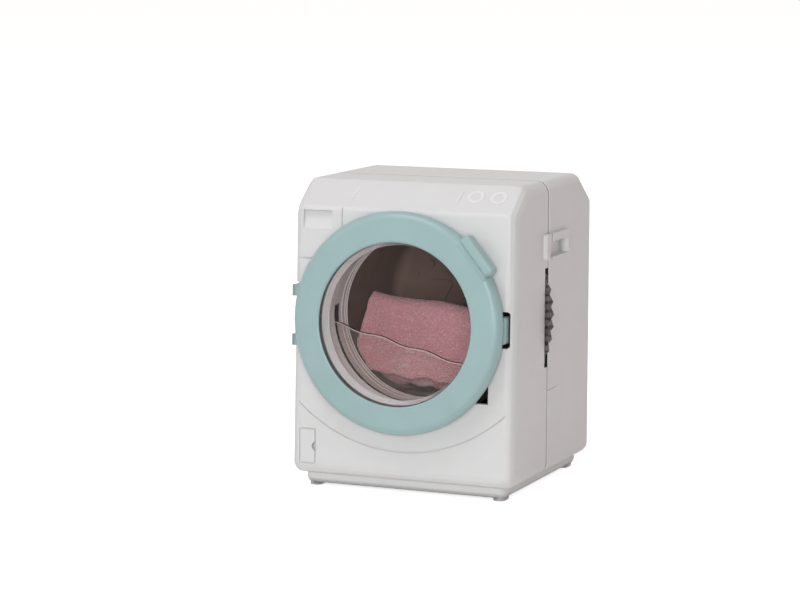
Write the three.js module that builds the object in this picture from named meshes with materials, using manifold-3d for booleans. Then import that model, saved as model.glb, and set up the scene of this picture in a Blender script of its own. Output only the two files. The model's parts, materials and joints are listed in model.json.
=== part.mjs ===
// Toy washing machine for a doll's house, with a round door that swings, a drum
// that is turned by a scalloped thumb wheel in the side walls, a clear rocking
// wave plate and a folded towel.
// Millimetres. X runs to the right seen from the front, Y to the back, Z up.

import * as THREE from 'three';
import { mergeVertices } from 'three/addons/utils/BufferGeometryUtils.js';
import Module from 'manifold-3d';

const wasm = await Module();
wasm.setup();

// Housing: a box with a leaning front, a sloping panel and a chamfered rear
const shellWidth = 52.4;
const shellDepth = 50.5;
const shellBottom = 3;
const faceSetback = 1.75;
const panelRise = 5.75;
const panelRun = 7.25;
const rearChamferDepth = 8.2;
const rearChamferDrop = 6.05;
const shellWall = 1.6;
const edgeRadius = 2.4;
const creaseRadius = 1.4;
const creaseGrowthShare = 2.6;
const creaseBlendShare = 1.5;
const sharpestRadius = 0.1;
const seamDepth = 21.4;
const seamGap = 0.2;
const sideX = shellWidth / 2;
const wheelProud = 1.4;
const wheelRadius = sideX + wheelProud;
const roomBelowWheel = 7.4;
const roomAboveWheel = 2.4;
const drumHeight = shellBottom + roomBelowWheel + wheelRadius;
const machineHeight = drumHeight + wheelRadius + roomAboveWheel;
const panelFootHeight = machineHeight - panelRise;
const panelTopDepth = faceSetback + panelRun;

// Clearances shared by several pieces
const slipFit = 0.2;
const runningFit = 0.1;
const seatGap = 0.3;
const tipGap = 0.5;
const screwBite = 0.05;
const overrun = 1;

// Facets
const bigCircleSides = 60;
const smallCircleSides = 16;
const screwSides = 12;
const postSides = 12;
const cornerSteps = 4;
const smallCornerSteps = 2;
const longArcSteps = 30;
const scallopSteps = 4;
const scallopTwistSteps = 2;
const windowBowlSteps = 3;
const towelFoldSteps = 8;

// Door ring, proud of the front face
const doorGap = 0.3;
const ringSideMargin = 1.85;
const ringWidth = 6.65;
const ringInnerProud = 4.4;
const ringOuterProud = 4.1;
const ringOuterRounding = 1.9;
const ringInnerBevel = 0.6;
const ringBackRounding = 1.6;
const ringOuterRadius = sideX - ringSideMargin;
const ringInnerRadius = ringOuterRadius - ringWidth;

// Washing throat in the front wall, a little wider than the door's opening
const throatMargin = 0.7;
const throatWall = 1.5;
const throatEnd = 6.4;
const throatRadius = ringInnerRadius + throatMargin;

// Wave plate: a clear segment that rocks in a groove between throat and collar
const wavePlateThickness = 1;
const wavePlateLap = 1.1;
const waveChordDepth = 6.05;
const waveHeight = 0.3;
const waveLength = 10.8;
const waveCrestOffset = 5.9;
const wavePlateTilt = THREE.MathUtils.degToRad(13.6);
const waveGrooveEnd = THREE.MathUtils.degToRad(-6);
const wavePlateRadius = throatRadius + wavePlateLap;
const waveGrooveWidth = wavePlateThickness + 2 * seatGap;
const waveGrooveRadius = wavePlateRadius + seatGap;

// Inner collar: a hoop round the wave plate's groove and a sleeve into the drum
const collarWall = 1.2;
const collarHoopWall = 1.3;
const collarSleeveLength = 4;
const collarFlangeWidth = 2.8;
const collarFlangeThickness = 1.4;
const collarHoopRadius = waveGrooveRadius + collarHoopWall;
const collarFlangeRadius = collarHoopRadius + collarFlangeWidth;
const collarHoopEnd = throatEnd + waveGrooveWidth + collarWall;
const collarEnd = collarHoopEnd + collarSleeveLength;

// Screws that hold the inner collar on the front shell
const collarPostRadius = 1.6;
const collarScrewRadius = 0.7;
const collarScrewHeadRadius = 1.15;
const collarScrewHeadHeight = 0.8;
const collarScrewLength = 4.4;
const collarPilotEnd = throatEnd + collarFlangeThickness - collarScrewLength - tipGap;
const collarScrewRing = (collarHoopRadius + collarFlangeRadius) / 2;
const collarScrewHeights = [drumHeight - collarScrewRing, drumHeight + collarScrewRing];

// Drum, running over the collar's sleeve in front and on its axle behind
const drumWall = 1.2;
const drumOverlap = 2;
const drumRearRoom = 6.8;
const drumFloorRounding = 2.5;
const drumHubRadius = 3.2;
const drumHubLength = 1.2;
const drumInnerRadius = throatRadius + collarWall + seatGap;
const drumOuterRadius = drumInnerRadius + drumWall;
const drumMouth = collarEnd - drumOverlap;
const drumFloor = shellDepth - drumRearRoom;
const drumBack = drumFloor + drumWall;
const hubBack = drumBack + drumHubLength;

// Drum relief: rounded triangles and a trail of bubbles on the rear wall
const reliefHeight = 0.5;
const triangleSide = 5.6;
const triangleCorner = 0.9;
const triangleReach = 8.4;
const triangleAngles = [168, 288, 48].map(THREE.MathUtils.degToRad);
const bubbleHeight = 0.35;
const bubbleRadii = [1.5, 0.9, 1.2, 0.7];
const bubbleWallGaps = [4.8, 6.9, 4.2, 7.8];
const bubbleStep = THREE.MathUtils.degToRad(17);
const bubbleStart = THREE.MathUtils.degToRad(128);

// Drum axle, a shoulder screw in a boss on the rear wall
const axleShoulderRadius = 1.2;
const axleThreadRadius = 0.9;
const axleHeadRadius = 2.6;
const axleHeadThickness = 0.8;
const axleThreadLength = 2.6;
const axleBossRadius = 3;
const axleBossFront = hubBack + seatGap;

// Thumb wheel, pushed over the drum against its shoulder
const wheelThickness = 1.8;
const wheelLead = 1.5;
const scallopCount = 62;
const scallopDepth = 0.8;
const scallopTwistShare = 0.75;
const wheelKeyCount = 3;
const wheelKeyWidth = 3;
const wheelKeyHeight = 0.8;
const wheelShoulderHeight = 1.6;
const wheelShoulderThickness = 1;
const wheelFront = seamDepth - wheelLead;

// Slot in each side wall for the thumb wheel, and the thumb scoop behind it
const slotHalfLength = 11;
const wheelTipGap = 0.4;
const scoopBelowSlot = 5.5;
const scoopLength = 6.2;
const scoopDepth = 0.3;
const slotRearRoom = 0.65;
const slotEdgeWall = 0.5;
const slotReliefLength = 2.1;
const slotFront = wheelFront - seatGap;
const slotRear = wheelFront + wheelThickness + slotRearRoom;
const slotLow = drumHeight - slotHalfLength;
const slotHigh = drumHeight + slotHalfLength;
const scoopLow = slotLow - scoopBelowSlot;
const scoopHigh = slotHigh + seatGap;
const scoopEnd = slotRear + scoopLength;

// Side carry handles, moulded over the seam, and the finger pocket in each
const carryLength = 14.8;
const carryBeforeSeam = 3;
const carryHeight = 5.8;
const carryTopDrop = 11.4;
const carryProud = 0.9;
const carryCorner = 0.8;
const carryFrontRim = 2.1;
const carryRearRim = 1.05;
const carryLowRim = 0.6;
const carryHighRim = 1.8;
const pocketShallow = 0.2;
const pocketDeep = 1.4;
const pocketBacking = 1.2;
const carryFront = seamDepth - carryBeforeSeam;
const carryRear = carryFront + carryLength;
const carryHigh = machineHeight - carryTopDrop;
const carryLow = carryHigh - carryHeight;

// Screws that hold the two shells together, driven from the rear
const postRadius = 2.3;
const postInset = 4;
const lowerPostRise = 5.4;
const postWheelGap = 0.1;
const postMeetingLead = 2.8;
const screwRadius = 0.9;
const screwHeadRadius = 1.7;
const screwHeadHeight = 1.1;
const screwLength = 17;
const screwSeatLength = 12;
const postX = sideX - postInset;
const upperPostReach = wheelRadius + wheelTipGap + postRadius + postWheelGap;
const upperPostRise = Math.sqrt(upperPostReach ** 2 - postX ** 2);
const postHeights = [shellBottom + lowerPostRise, drumHeight + upperPostRise];
const postPlaces = postHeights.flatMap((height) => [-postX, postX].map((x) => [x, height]));
const postMeeting = seamDepth - postMeetingLead;
const screwSeat = postMeeting + screwSeatLength;

// Registration lip of the rear shell inside the front shell
const lipLength = 1.4;
const lipThickness = 0.9;
const lipRoot = 1.6;

// Base plinth: a shallow tray with a rounded rim and a foot at each corner
const plinthInset = 2.4;
const plinthCorner = 1.8;
const plinthBottom = 0.6;
const plinthRim = 1.6;
const plinthPlate = 1;
const plinthRimSteps = 2;
const footLength = 4.4;
const footWidth = 2.6;
const footCorner = 1.1;
const footInset = 0.7;
const plinthHalfWidth = sideX - plinthInset;
const plinthFront = plinthInset;
const plinthRear = shellDepth - plinthInset;

// Screws that hold the plinth, each in a boss of one shell
const baseScrewFrontInset = 12;
const baseScrewRearInset = 9.8;
const baseBossRadius = 2.2;
const baseScrewLength = 6;
const baseBossHeight = 7;
const baseScrewFront = baseScrewFrontInset;
const baseScrewRear = shellDepth - baseScrewRearInset;

// Window and its retaining ring, in the back of the door ring
const windowLap = 2.8;
const windowFlangeThickness = 1;
const windowFlangeProud = 2.9;
const windowBowlMargin = 0.5;
const windowBowlDepth = 2.2;
const retainerLap = 1;
const retainerWidth = 2.8;
const retainerThickness = 0.6;
const windowFlangeRadius = ringInnerRadius + windowLap;
const windowBowlRadius = ringInnerRadius - windowBowlMargin;
const retainerRadius = windowFlangeRadius + retainerLap;
const retainerInnerRadius = retainerRadius - retainerWidth;

// Door handle, a bar that stands out past the ring's rim on a pad
const handleAngle = THREE.MathUtils.degToRad(39.5);
const handleOutset = 0.55;
const handleLength = 10;
const handleWidth = 2.5;
const handleTopProud = 5.5;
const handleBackProud = 2;
const handleEdge = 0.7;
const handlePadLength = 10.6;
const handlePadInset = 2.2;
const handleReach = ringOuterRadius + handleOutset;
const handlePadInner = ringOuterRadius - handlePadInset;

// Hinge on the left of the door, in a notch of the front shell
const hingeInset = 0.3;
const hingeDepth = 0.9;
const hingePinRadius = 0.5;
const hingeBarrelRadius = 1.1;
const hingeKnuckleRadius = 0.95;
const hingeBelowDrumLine = 6.2;
const hingeAboveDrumLine = 7.2;
const lugLength = 2.5;
const notchSideGap = 0.8;
const notchRearGap = 1.6;
const notchWall = 1.2;
const hingeX = hingeInset - ringOuterRadius;
const lowerLugLow = drumHeight - hingeBelowDrumLine;
const lowerLugHigh = lowerLugLow + lugLength;
const upperLugHigh = drumHeight + hingeAboveDrumLine;
const upperLugLow = upperLugHigh - lugLength;
const notchX = hingeX + hingeBarrelRadius + notchSideGap;
const notchDepth = hingeDepth + hingeBarrelRadius + notchRearGap;

// Latch: a slot on the right of the front shell and the door's tab in it
const latchTabProud = 1.4;
const latchTabReach = 2.4;
const latchTabInset = 1.6;
const latchTabWidth = 1.9;
const latchTabBelowDrumLine = 3.2;
const latchTabAboveDrumLine = 2.7;
const latchEndGap = 1;
const latchInnerGap = 0.6;
const latchOuterGap = 0.4;
const latchCorner = 0.7;
const latchTabInner = ringOuterRadius - latchTabInset;
const latchTabOuter = latchTabInner + latchTabWidth;
const latchTabLow = drumHeight - latchTabBelowDrumLine;
const latchTabHigh = drumHeight + latchTabAboveDrumLine;

// Small square port below the latch
const portInset = 5.8;
const portWidth = 3.7;
const portHeight = 3.8;
const portRise = 18.5;
const portRight = sideX - portInset;
const portLow = shellBottom + portRise;

// Lines and recesses of the front face
const grooveWidth = 0.3;
const grooveDepth = 0.3;
const drawerWidth = 11.9;
const drawerLineTopLap = 0.5;
const drawerLineFootLap = 0.9;
const drawerHeight = 11.5;
const drawerLineStart = 0.8;
const drawerLineEnd = 14.2;
const pullInset = 2.6;
const pullWidth = 6.8;
const pullTopDrop = 0.7;
const pullHeight = 3.9;
const pullDepth = 0.8;
const pullFootDepth = 0.25;
const filterInset = 2.1;
const filterRise = 2.4;
const filterWidth = 4;
const filterHeight = 7.9;
const filterNotchRadius = 1.05;
const filterNotchRise = 3.9;
const filterNotchDepth = 1.2;
const plinthArcRadius = 35.9;
const plinthArcRise = 6.6;
const plinthArcInset = 1.8;
const drawerLeft = -sideX;
const drawerSideX = drawerLeft + drawerWidth;
const drawerLineHeight = panelFootHeight - drawerHeight;
const filterLeft = filterInset - sideX;
const filterRight = filterLeft + filterWidth;
const filterLow = shellBottom + filterRise;
const filterHigh = filterLow + filterHeight;

// Marks on the sloping panel
const dialRadius = 1.95;
const dialDepth = 0.45;
const dialButtonRadius = 1.15;
const dialShare = 0.57;
const dialInset = 5.65;
const dialSpacing = 5.25;
const tickWidth = 0.4;
const tickLean = 0.5;
const tickDialGap = 1.65;
const tickDrawerGap = 1.7;
const tickLowShare = 0.32;
const tickHighShare = 0.74;
const dialXs = [sideX - dialInset - dialSpacing, sideX - dialInset];
const tickXs = [drawerSideX + tickDrawerGap, dialXs[0] - dialRadius - tickDialGap];

// Folded towel: layers of terry standing on edge, rounded by the drum
const towelMouthGap = 0.6;
const towelDrumGap = 0.5;
const towelLayers = 4;
const towelLayerThickness = 2.6;
const towelLayerGap = 0.5;
const towelTopWidth = 26.4;
const towelFootWidth = 35;
const towelAboveDrumLine = 3.8;
const towelBelowDrumLine = 15.8;
const towelOffset = 0.4;
const towelTilt = THREE.MathUtils.degToRad(5);
const towelFront = collarEnd + towelMouthGap;
const towelTop = drumHeight + towelAboveDrumLine;
const towelFoot = drumHeight - towelBelowDrumLine;

// Where the leaning front face and the sloping panel lie
const faceRise = panelFootHeight - shellBottom;
const frontLean = Math.atan2(faceSetback, faceRise);
const faceAtDoor = (faceSetback * (drumHeight - shellBottom)) / faceRise;
const panelLean = Math.atan2(panelRun, panelRise);
const panelLength = Math.hypot(panelRun, panelRise);

// Materials
const whitePlastic = { color: 0xe3e2e4, roughness: 0.42, metalness: 0 };
const shadePlastic = { color: 0xd8d2d0, roughness: 0.5, metalness: 0 };
const mintPlastic = { color: 0xa3c6c3, roughness: 0.4, metalness: 0 };
const darkPlastic = { color: 0x6a5d54, roughness: 0.5, metalness: 0 };
const clearPlastic = { color: 0xf2f4f4, roughness: 0.08, metalness: 0, transparent: true, opacity: 0.25 };
const steel = { color: 0xb9bcc0, roughness: 0.3, metalness: 1 };
const terry = { color: 0xe0a7b2, roughness: 0.95, metalness: 0 };

// A closed geometry as a solid, with repeated corners welded, needle faces
// dropped and its faces turned outwards
function solid(geometry) {
  const bare = geometry.clone();
  bare.deleteAttribute('normal');
  bare.deleteAttribute('uv');
  const welded = mergeVertices(bare);
  const corners = welded.attributes.position;
  const order = [];
  const [a, b, c] = [new THREE.Vector3(), new THREE.Vector3(), new THREE.Vector3()];
  let volume = 0;
  for (let i = 0; i < welded.index.count; i += 3) {
    const [p, q, r] = [0, 1, 2].map((k) => welded.index.getX(i + k));
    if (p === q || q === r || r === p) continue;
    order.push(p, q, r);
    a.fromBufferAttribute(corners, p);
    b.fromBufferAttribute(corners, q);
    c.fromBufferAttribute(corners, r);
    volume += a.dot(b.cross(c));
  }
  if (volume < 0) order.reverse();
  const mesh = new wasm.Mesh({
    numProp: 3,
    vertProperties: new Float32Array(corners.array),
    triVerts: new Uint32Array(order),
  });
  return new wasm.Manifold(mesh);
}

function geometryOf(body) {
  const mesh = body.getMesh();
  const geometry = new THREE.BufferGeometry();
  geometry.setAttribute('position', new THREE.BufferAttribute(mesh.vertProperties, 3));
  geometry.setIndex(new THREE.BufferAttribute(mesh.triVerts, 1));
  geometry.computeVertexNormals();
  return geometry;
}

function piece(name, body, finish) {
  const mesh = new THREE.Mesh(geometryOf(body), new THREE.MeshStandardMaterial(finish));
  mesh.name = name;
  return mesh;
}

// A block between two corners
function block([x0, y0, z0], [x1, y1, z1]) {
  const geometry = new THREE.BoxGeometry(x1 - x0, y1 - y0, z1 - z0);
  geometry.translate((x0 + x1) / 2, (y0 + y1) / 2, (z0 + z1) / 2);
  return geometry;
}

// A round bar along Y, centred on (x, z)
function barY(radius, x, z, from, to, sides = smallCircleSides) {
  const geometry = new THREE.CylinderGeometry(radius, radius, to - from, sides);
  geometry.translate(x, (from + to) / 2, z);
  return geometry;
}

// A round bar along Z, centred on (x, y)
function barZ(radius, x, y, from, to, sides = smallCircleSides) {
  const geometry = new THREE.CylinderGeometry(radius, radius, to - from, sides);
  geometry.rotateX(Math.PI / 2);
  geometry.translate(x, y, (from + to) / 2);
  return geometry;
}

// A body turned about the Y axis through (0, height); profile points are [radius, y]
function turned(profile, height, sides = bigCircleSides) {
  const points = profile.map(([radius, y]) => new THREE.Vector2(radius, y));
  const geometry = new THREE.LatheGeometry(points, sides);
  geometry.translate(0, 0, height);
  return geometry;
}

// A closed ring profile, first point repeated at the end
function closed(profile) {
  return [...profile, profile[0]];
}

// A shape drawn in X and Z, extruded along Y
function extrudeY(shape, from, to, curveSegments = smallCornerSteps, steps = 1) {
  const options = { depth: to - from, bevelEnabled: false, curveSegments, steps };
  const geometry = new THREE.ExtrudeGeometry(shape, options);
  geometry.rotateX(Math.PI / 2);
  geometry.translate(0, to, 0);
  return geometry;
}

// A shape drawn in Y and Z, extruded along X
function extrudeX(shape, from, to) {
  const options = { depth: to - from, bevelEnabled: false, curveSegments: smallCornerSteps };
  const geometry = new THREE.ExtrudeGeometry(shape, options);
  const basis = new THREE.Matrix4().makeBasis(
    new THREE.Vector3(0, 1, 0),
    new THREE.Vector3(0, 0, 1),
    new THREE.Vector3(1, 0, 0),
  );
  geometry.applyMatrix4(basis);
  geometry.translate(from, 0, 0);
  return geometry;
}

function polygon(points) {
  return new THREE.Shape(points.map(([u, v]) => new THREE.Vector2(u, v)));
}

function roundedRectangle(x0, z0, x1, z1, radius) {
  const shape = new THREE.Shape();
  shape.absarc(x1 - radius, z0 + radius, radius, -Math.PI / 2, 0);
  shape.absarc(x1 - radius, z1 - radius, radius, 0, Math.PI / 2);
  shape.absarc(x0 + radius, z1 - radius, radius, Math.PI / 2, Math.PI);
  shape.absarc(x0 + radius, z0 + radius, radius, Math.PI, 1.5 * Math.PI);
  return shape;
}

// The same body on the other side of the machine
function mirrored(body) {
  return body.mirror([1, 0, 0]);
}

// How the corners of the side outline turn into the side walls: an edge gets sharper,
// and a crease of the panel gets rounder and deeper
const edgeCorner = { radius: edgeRadius, growthShare: -1, blendShare: 1 };
const creaseCorner = { radius: creaseRadius, growthShare: creaseGrowthShare, blendShare: creaseBlendShare };

// The side outline of the housing, in Y and Z, counter-clockwise
const shellCorners = [
  { at: new THREE.Vector2(0, shellBottom), ...edgeCorner },
  { at: new THREE.Vector2(shellDepth, shellBottom), ...edgeCorner },
  { at: new THREE.Vector2(shellDepth, machineHeight - rearChamferDrop), ...edgeCorner },
  { at: new THREE.Vector2(shellDepth - rearChamferDepth, machineHeight), ...edgeCorner },
  { at: new THREE.Vector2(panelTopDepth, machineHeight), ...creaseCorner },
  { at: new THREE.Vector2(faceSetback, panelFootHeight), ...creaseCorner },
];

// The outline moved inwards by a wall and by the fade of a side edge, with an arc at
// each corner
function insetOutline(wall, fade, steps) {
  const points = [];
  shellCorners.forEach((corner, i) => {
    const before = shellCorners[(i + shellCorners.length - 1) % shellCorners.length];
    const after = shellCorners[(i + 1) % shellCorners.length];
    const incoming = new THREE.Vector2().subVectors(corner.at, before.at).normalize();
    const outgoing = new THREE.Vector2().subVectors(after.at, corner.at).normalize();
    const inwardBefore = new THREE.Vector2(-incoming.y, incoming.x);
    const inwardAfter = new THREE.Vector2(-outgoing.y, outgoing.x);
    const toCentre = inwardBefore.clone().add(inwardAfter);
    toCentre.divideScalar(1 + inwardBefore.dot(inwardAfter));
    const inset = wall + fade * corner.blendShare;
    const radius = Math.max(corner.radius - wall + fade * corner.growthShare, sharpestRadius);
    const centre = corner.at.clone().addScaledVector(toCentre, inset + radius);
    const start = Math.atan2(-inwardBefore.y, -inwardBefore.x);
    const turn = incoming.angleTo(outgoing);
    for (let k = 0; k <= steps; k += 1) {
      const angle = start + (turn * k) / steps;
      points.push([centre.x + radius * Math.cos(angle), centre.y + radius * Math.sin(angle)]);
    }
  });
  return points;
}

// The housing form, moved inwards: the outline lofted across the width, with
// quarter-round edges where it meets the two side walls
function housingForm(inset, steps = smallCornerSteps) {
  const half = shellWidth / 2 - inset;
  const rounding = Math.max(edgeRadius - inset, sharpestRadius);
  const rings = [];
  for (let k = 0; k <= steps; k += 1) {
    const angle = (Math.PI / 2) * (k / steps);
    const x = half - rounding + rounding * Math.sin(angle);
    rings.push({ x, outline: insetOutline(inset, rounding * (1 - Math.cos(angle)), steps) });
  }
  const left = rings.map(({ x, outline }) => ({ x: -x, outline })).reverse();
  const loft = [...left, ...rings];
  const count = rings[0].outline.length;
  const positions = loft.flatMap(({ x, outline }) => outline.flatMap(([y, z]) => [x, y, z]));
  const index = [];
  for (let i = 0; i + 1 < loft.length; i += 1) {
    for (let j = 0; j < count; j += 1) {
      const next = (j + 1) % count;
      const [a, b, c, d] = [i * count + j, i * count + next, (i + 1) * count + next, (i + 1) * count + j];
      index.push(a, b, c, a, c, d);
    }
  }
  const last = (loft.length - 1) * count;
  for (let j = 1; j + 1 < count; j += 1) {
    index.push(0, j + 1, j);
    index.push(last, last + j, last + j + 1);
  }
  const geometry = new THREE.BufferGeometry();
  geometry.setAttribute('position', new THREE.Float32BufferAttribute(positions, 3));
  geometry.setIndex(index);
  return solid(geometry);
}

// Front face frame: origin at the door centre on the face, Y into the housing, Z up the face
const faceFrame = new THREE.Matrix4()
  .makeTranslation(0, faceAtDoor, drumHeight)
  .multiply(new THREE.Matrix4().makeRotationX(-frontLean));

// Panel frame: origin at the foot of the panel, Y into the housing, Z up the slope
const panelFrame = new THREE.Matrix4()
  .makeTranslation(0, faceSetback, panelFootHeight)
  .multiply(new THREE.Matrix4().makeRotationX(-panelLean));

function onFace(geometry) {
  return solid(geometry.applyMatrix4(faceFrame));
}

function onPanel(geometry) {
  return solid(geometry.applyMatrix4(panelFrame));
}

// A height above the floor, measured up the face from the door centre
function upFace(height) {
  return (height - drumHeight) / Math.cos(frontLean);
}

// Thumb wheel slots, scoops and handles, all cut across both shells
function wheelWell() {
  return solid(barY(wheelRadius + wheelTipGap, 0, drumHeight, slotFront, slotRear, bigCircleSides));
}

function wheelSlot() {
  return solid(block(
    [sideX - shellWall - overrun, slotFront, slotLow],
    [sideX + overrun, slotRear, slotHigh],
  ));
}

// The wall thins towards the slot's rear edge from the inside
function slotRelief() {
  const edge = sideX - scoopDepth - slotEdgeWall;
  const shape = polygon([
    [sideX - shellWall - overrun, slotFront],
    [edge, slotFront],
    [edge, slotRear],
    [sideX - shellWall, slotRear + slotReliefLength],
    [sideX - shellWall - overrun, slotRear + slotReliefLength],
  ]);
  const geometry = new THREE.ExtrudeGeometry(shape, { depth: slotHigh - slotLow, bevelEnabled: false });
  geometry.translate(0, 0, slotLow);
  return solid(geometry);
}

// A shallow wedge that fades out towards the rear, so a thumb reaches the wheel
function thumbScoop() {
  const shape = new THREE.Shape();
  shape.moveTo(scoopEnd, scoopHigh - scoopDepth);
  shape.lineTo(slotRear, scoopHigh);
  shape.lineTo(slotRear - seatGap, scoopHigh);
  shape.lineTo(slotRear - seatGap, scoopLow);
  shape.lineTo(slotRear, scoopLow);
  shape.lineTo(scoopEnd, scoopLow + scoopDepth);
  const column = solid(extrudeX(shape, sideX - scoopDepth, sideX + overrun));
  const cover = new THREE.Shape();
  cover.moveTo(sideX - scoopDepth, slotRear - slotRearRoom);
  cover.lineTo(sideX + overrun, slotRear - slotRearRoom);
  cover.lineTo(sideX + overrun, scoopEnd);
  cover.lineTo(sideX, scoopEnd);
  cover.lineTo(sideX - scoopDepth, slotRear);
  const wedge = new THREE.ExtrudeGeometry(cover, { depth: scoopHigh - scoopLow, bevelEnabled: false });
  wedge.translate(0, 0, scoopLow);
  return column.intersect(solid(wedge));
}

function carryFrame() {
  const shape = roundedRectangle(carryFront, carryLow, carryRear, carryHigh, carryCorner);
  return solid(extrudeX(shape, sideX - shellWall, sideX + carryProud));
}

// The finger pocket, or with a backing its outside; it deepens towards the rear
function carryPocket(backing) {
  const front = carryFront + carryFrontRim - backing;
  const rear = carryRear - carryRearRim + backing;
  const low = carryLow + carryLowRim - backing;
  const high = carryHigh - carryHighRim + backing;
  const shape = polygon([
    [sideX - pocketShallow - backing, front],
    [sideX + carryProud + overrun, front],
    [sideX + carryProud + overrun, rear],
    [sideX - pocketDeep - backing, rear],
  ]);
  const geometry = new THREE.ExtrudeGeometry(shape, { depth: high - low, bevelEnabled: false });
  geometry.translate(0, 0, low);
  return solid(geometry);
}

function bothSides(body) {
  return body.add(mirrored(body));
}

const outerForm = housingForm(0, cornerSteps);
const cavity = housingForm(shellWall).subtract(bothSides(carryPocket(pocketBacking)));
const hull = outerForm
  .add(bothSides(carryFrame()))
  .subtract(cavity)
  .subtract(bothSides(carryPocket(0)))
  .subtract(bothSides(wheelSlot()))
  .subtract(bothSides(slotRelief()))
  .subtract(bothSides(thumbScoop()))
  .subtract(wheelWell());

// Everything on one side of the seam
function slab(from, to) {
  return solid(block([-shellWidth, from, -machineHeight], [shellWidth, to, 2 * machineHeight]));
}

// Front shell details
function groove(x0, z0, x1, z1) {
  return onFace(block([x0, -overrun, upFace(z0)], [x1, grooveDepth, upFace(z1)]));
}

// The drawer's side and foot, each drawn by a line that runs a little past the other
function drawerLines() {
  const foot = drawerLineHeight - drawerLineFootLap;
  const top = panelFootHeight + drawerLineTopLap;
  const [left, right] = [drawerLeft + drawerLineStart, drawerLeft + drawerLineEnd];
  return [
    groove(drawerSideX - grooveWidth / 2, foot, drawerSideX + grooveWidth / 2, top),
    groove(left, drawerLineHeight, right, drawerLineHeight + grooveWidth),
  ];
}

function filterCoverLine() {
  const [low, high] = [upFace(filterLow), upFace(filterHigh)];
  const shape = roundedRectangle(filterLeft, low, filterRight, high, grooveWidth);
  const inner = roundedRectangle(
    filterLeft + grooveWidth,
    low + grooveWidth,
    filterRight - grooveWidth,
    high - grooveWidth,
    grooveWidth / 2,
  );
  shape.holes.push(inner);
  return onFace(extrudeY(shape, -overrun, grooveDepth));
}

function filterNotch() {
  const height = upFace(filterLow + filterNotchRise);
  const bore = barY(filterNotchRadius, filterRight, height, -overrun, filterNotchDepth);
  const left = block(
    [filterRight - 2 * filterNotchRadius, -2 * overrun, upFace(filterLow)],
    [filterRight, 2 * filterNotchDepth, upFace(filterHigh)],
  );
  return onFace(bore).intersect(onFace(left));
}

// The curved line across the lower front
function plinthArc() {
  const shape = new THREE.Shape();
  const halfAngle = Math.asin((sideX - plinthArcInset) / plinthArcRadius);
  const low = -Math.PI / 2 - halfAngle;
  const high = -Math.PI / 2 + halfAngle;
  const centre = upFace(shellBottom + plinthArcRise + plinthArcRadius);
  shape.absarc(0, centre, plinthArcRadius + grooveWidth / 2, low, high, false);
  shape.absarc(0, centre, plinthArcRadius - grooveWidth / 2, high, low, true);
  return onFace(extrudeY(shape, -overrun, grooveDepth, longArcSteps));
}

// The drawer's finger pull: deepest under its top lip, sloping out to its foot
function drawerPull() {
  const left = drawerLeft + pullInset;
  const high = upFace(panelFootHeight - pullTopDrop);
  const low = high - pullHeight;
  const shape = polygon([
    [-overrun, low],
    [pullFootDepth, low],
    [pullDepth, high - pullDepth],
    [pullDepth, high],
    [-overrun, high],
  ]);
  return onFace(extrudeX(shape, left, left + pullWidth));
}

function dial(x) {
  const z = dialShare * panelLength;
  const dish = onPanel(barY(dialRadius, x, z, -overrun, dialDepth));
  const button = onPanel(barY(dialButtonRadius, x, z, 0, 2 * dialDepth));
  return dish.subtract(button);
}

function tick(x) {
  const [low, high] = [tickLowShare * panelLength, tickHighShare * panelLength];
  const shape = polygon([
    [x - tickLean, low],
    [x - tickLean + tickWidth, low],
    [x + tickWidth, high],
    [x, high],
  ]);
  return onPanel(extrudeY(shape, -overrun, grooveDepth));
}

function latchSlot() {
  const shape = roundedRectangle(
    latchTabInner - latchInnerGap,
    upFace(latchTabLow - latchEndGap),
    latchTabOuter + latchOuterGap,
    upFace(latchTabHigh + latchEndGap),
    latchCorner,
  );
  return onFace(extrudeY(shape, -overrun, shellWall + 2 * overrun));
}

function port() {
  return onFace(block(
    [portRight - portWidth, -overrun, upFace(portLow)],
    [portRight, shellWall + overrun, upFace(portLow + portHeight)],
  ));
}

// Notch for the door lugs, and the box that closes it off from the inside
function hingeNotch(extra) {
  const [low, high] = [upFace(lowerLugLow) - seatGap - extra, upFace(upperLugHigh) + seatGap + extra];
  return onFace(block([-shellWidth, -overrun - extra, low], [notchX + extra, notchDepth + extra, high]));
}

function hingeKnuckle() {
  const [low, high] = [upFace(lowerLugHigh) + seatGap, upFace(upperLugLow) - seatGap];
  const barrel = onFace(barZ(hingeKnuckleRadius, hingeX, hingeDepth, low, high));
  const web = onFace(block(
    [hingeX - hingeKnuckleRadius / 2, hingeDepth, low],
    [hingeX + hingeKnuckleRadius, notchDepth + notchWall / 2, high],
  ));
  return barrel.add(web);
}

function hingeBore() {
  const [low, high] = [upFace(lowerLugLow) - overrun, upFace(upperLugHigh) + overrun];
  return onFace(barZ(hingePinRadius + runningFit, hingeX, hingeDepth, low, high));
}

// The hole that a screw bites into
function pilot(radius, x, z, from, to) {
  return solid(barY(radius + screwBite, x, z, from, to, screwSides));
}

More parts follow.
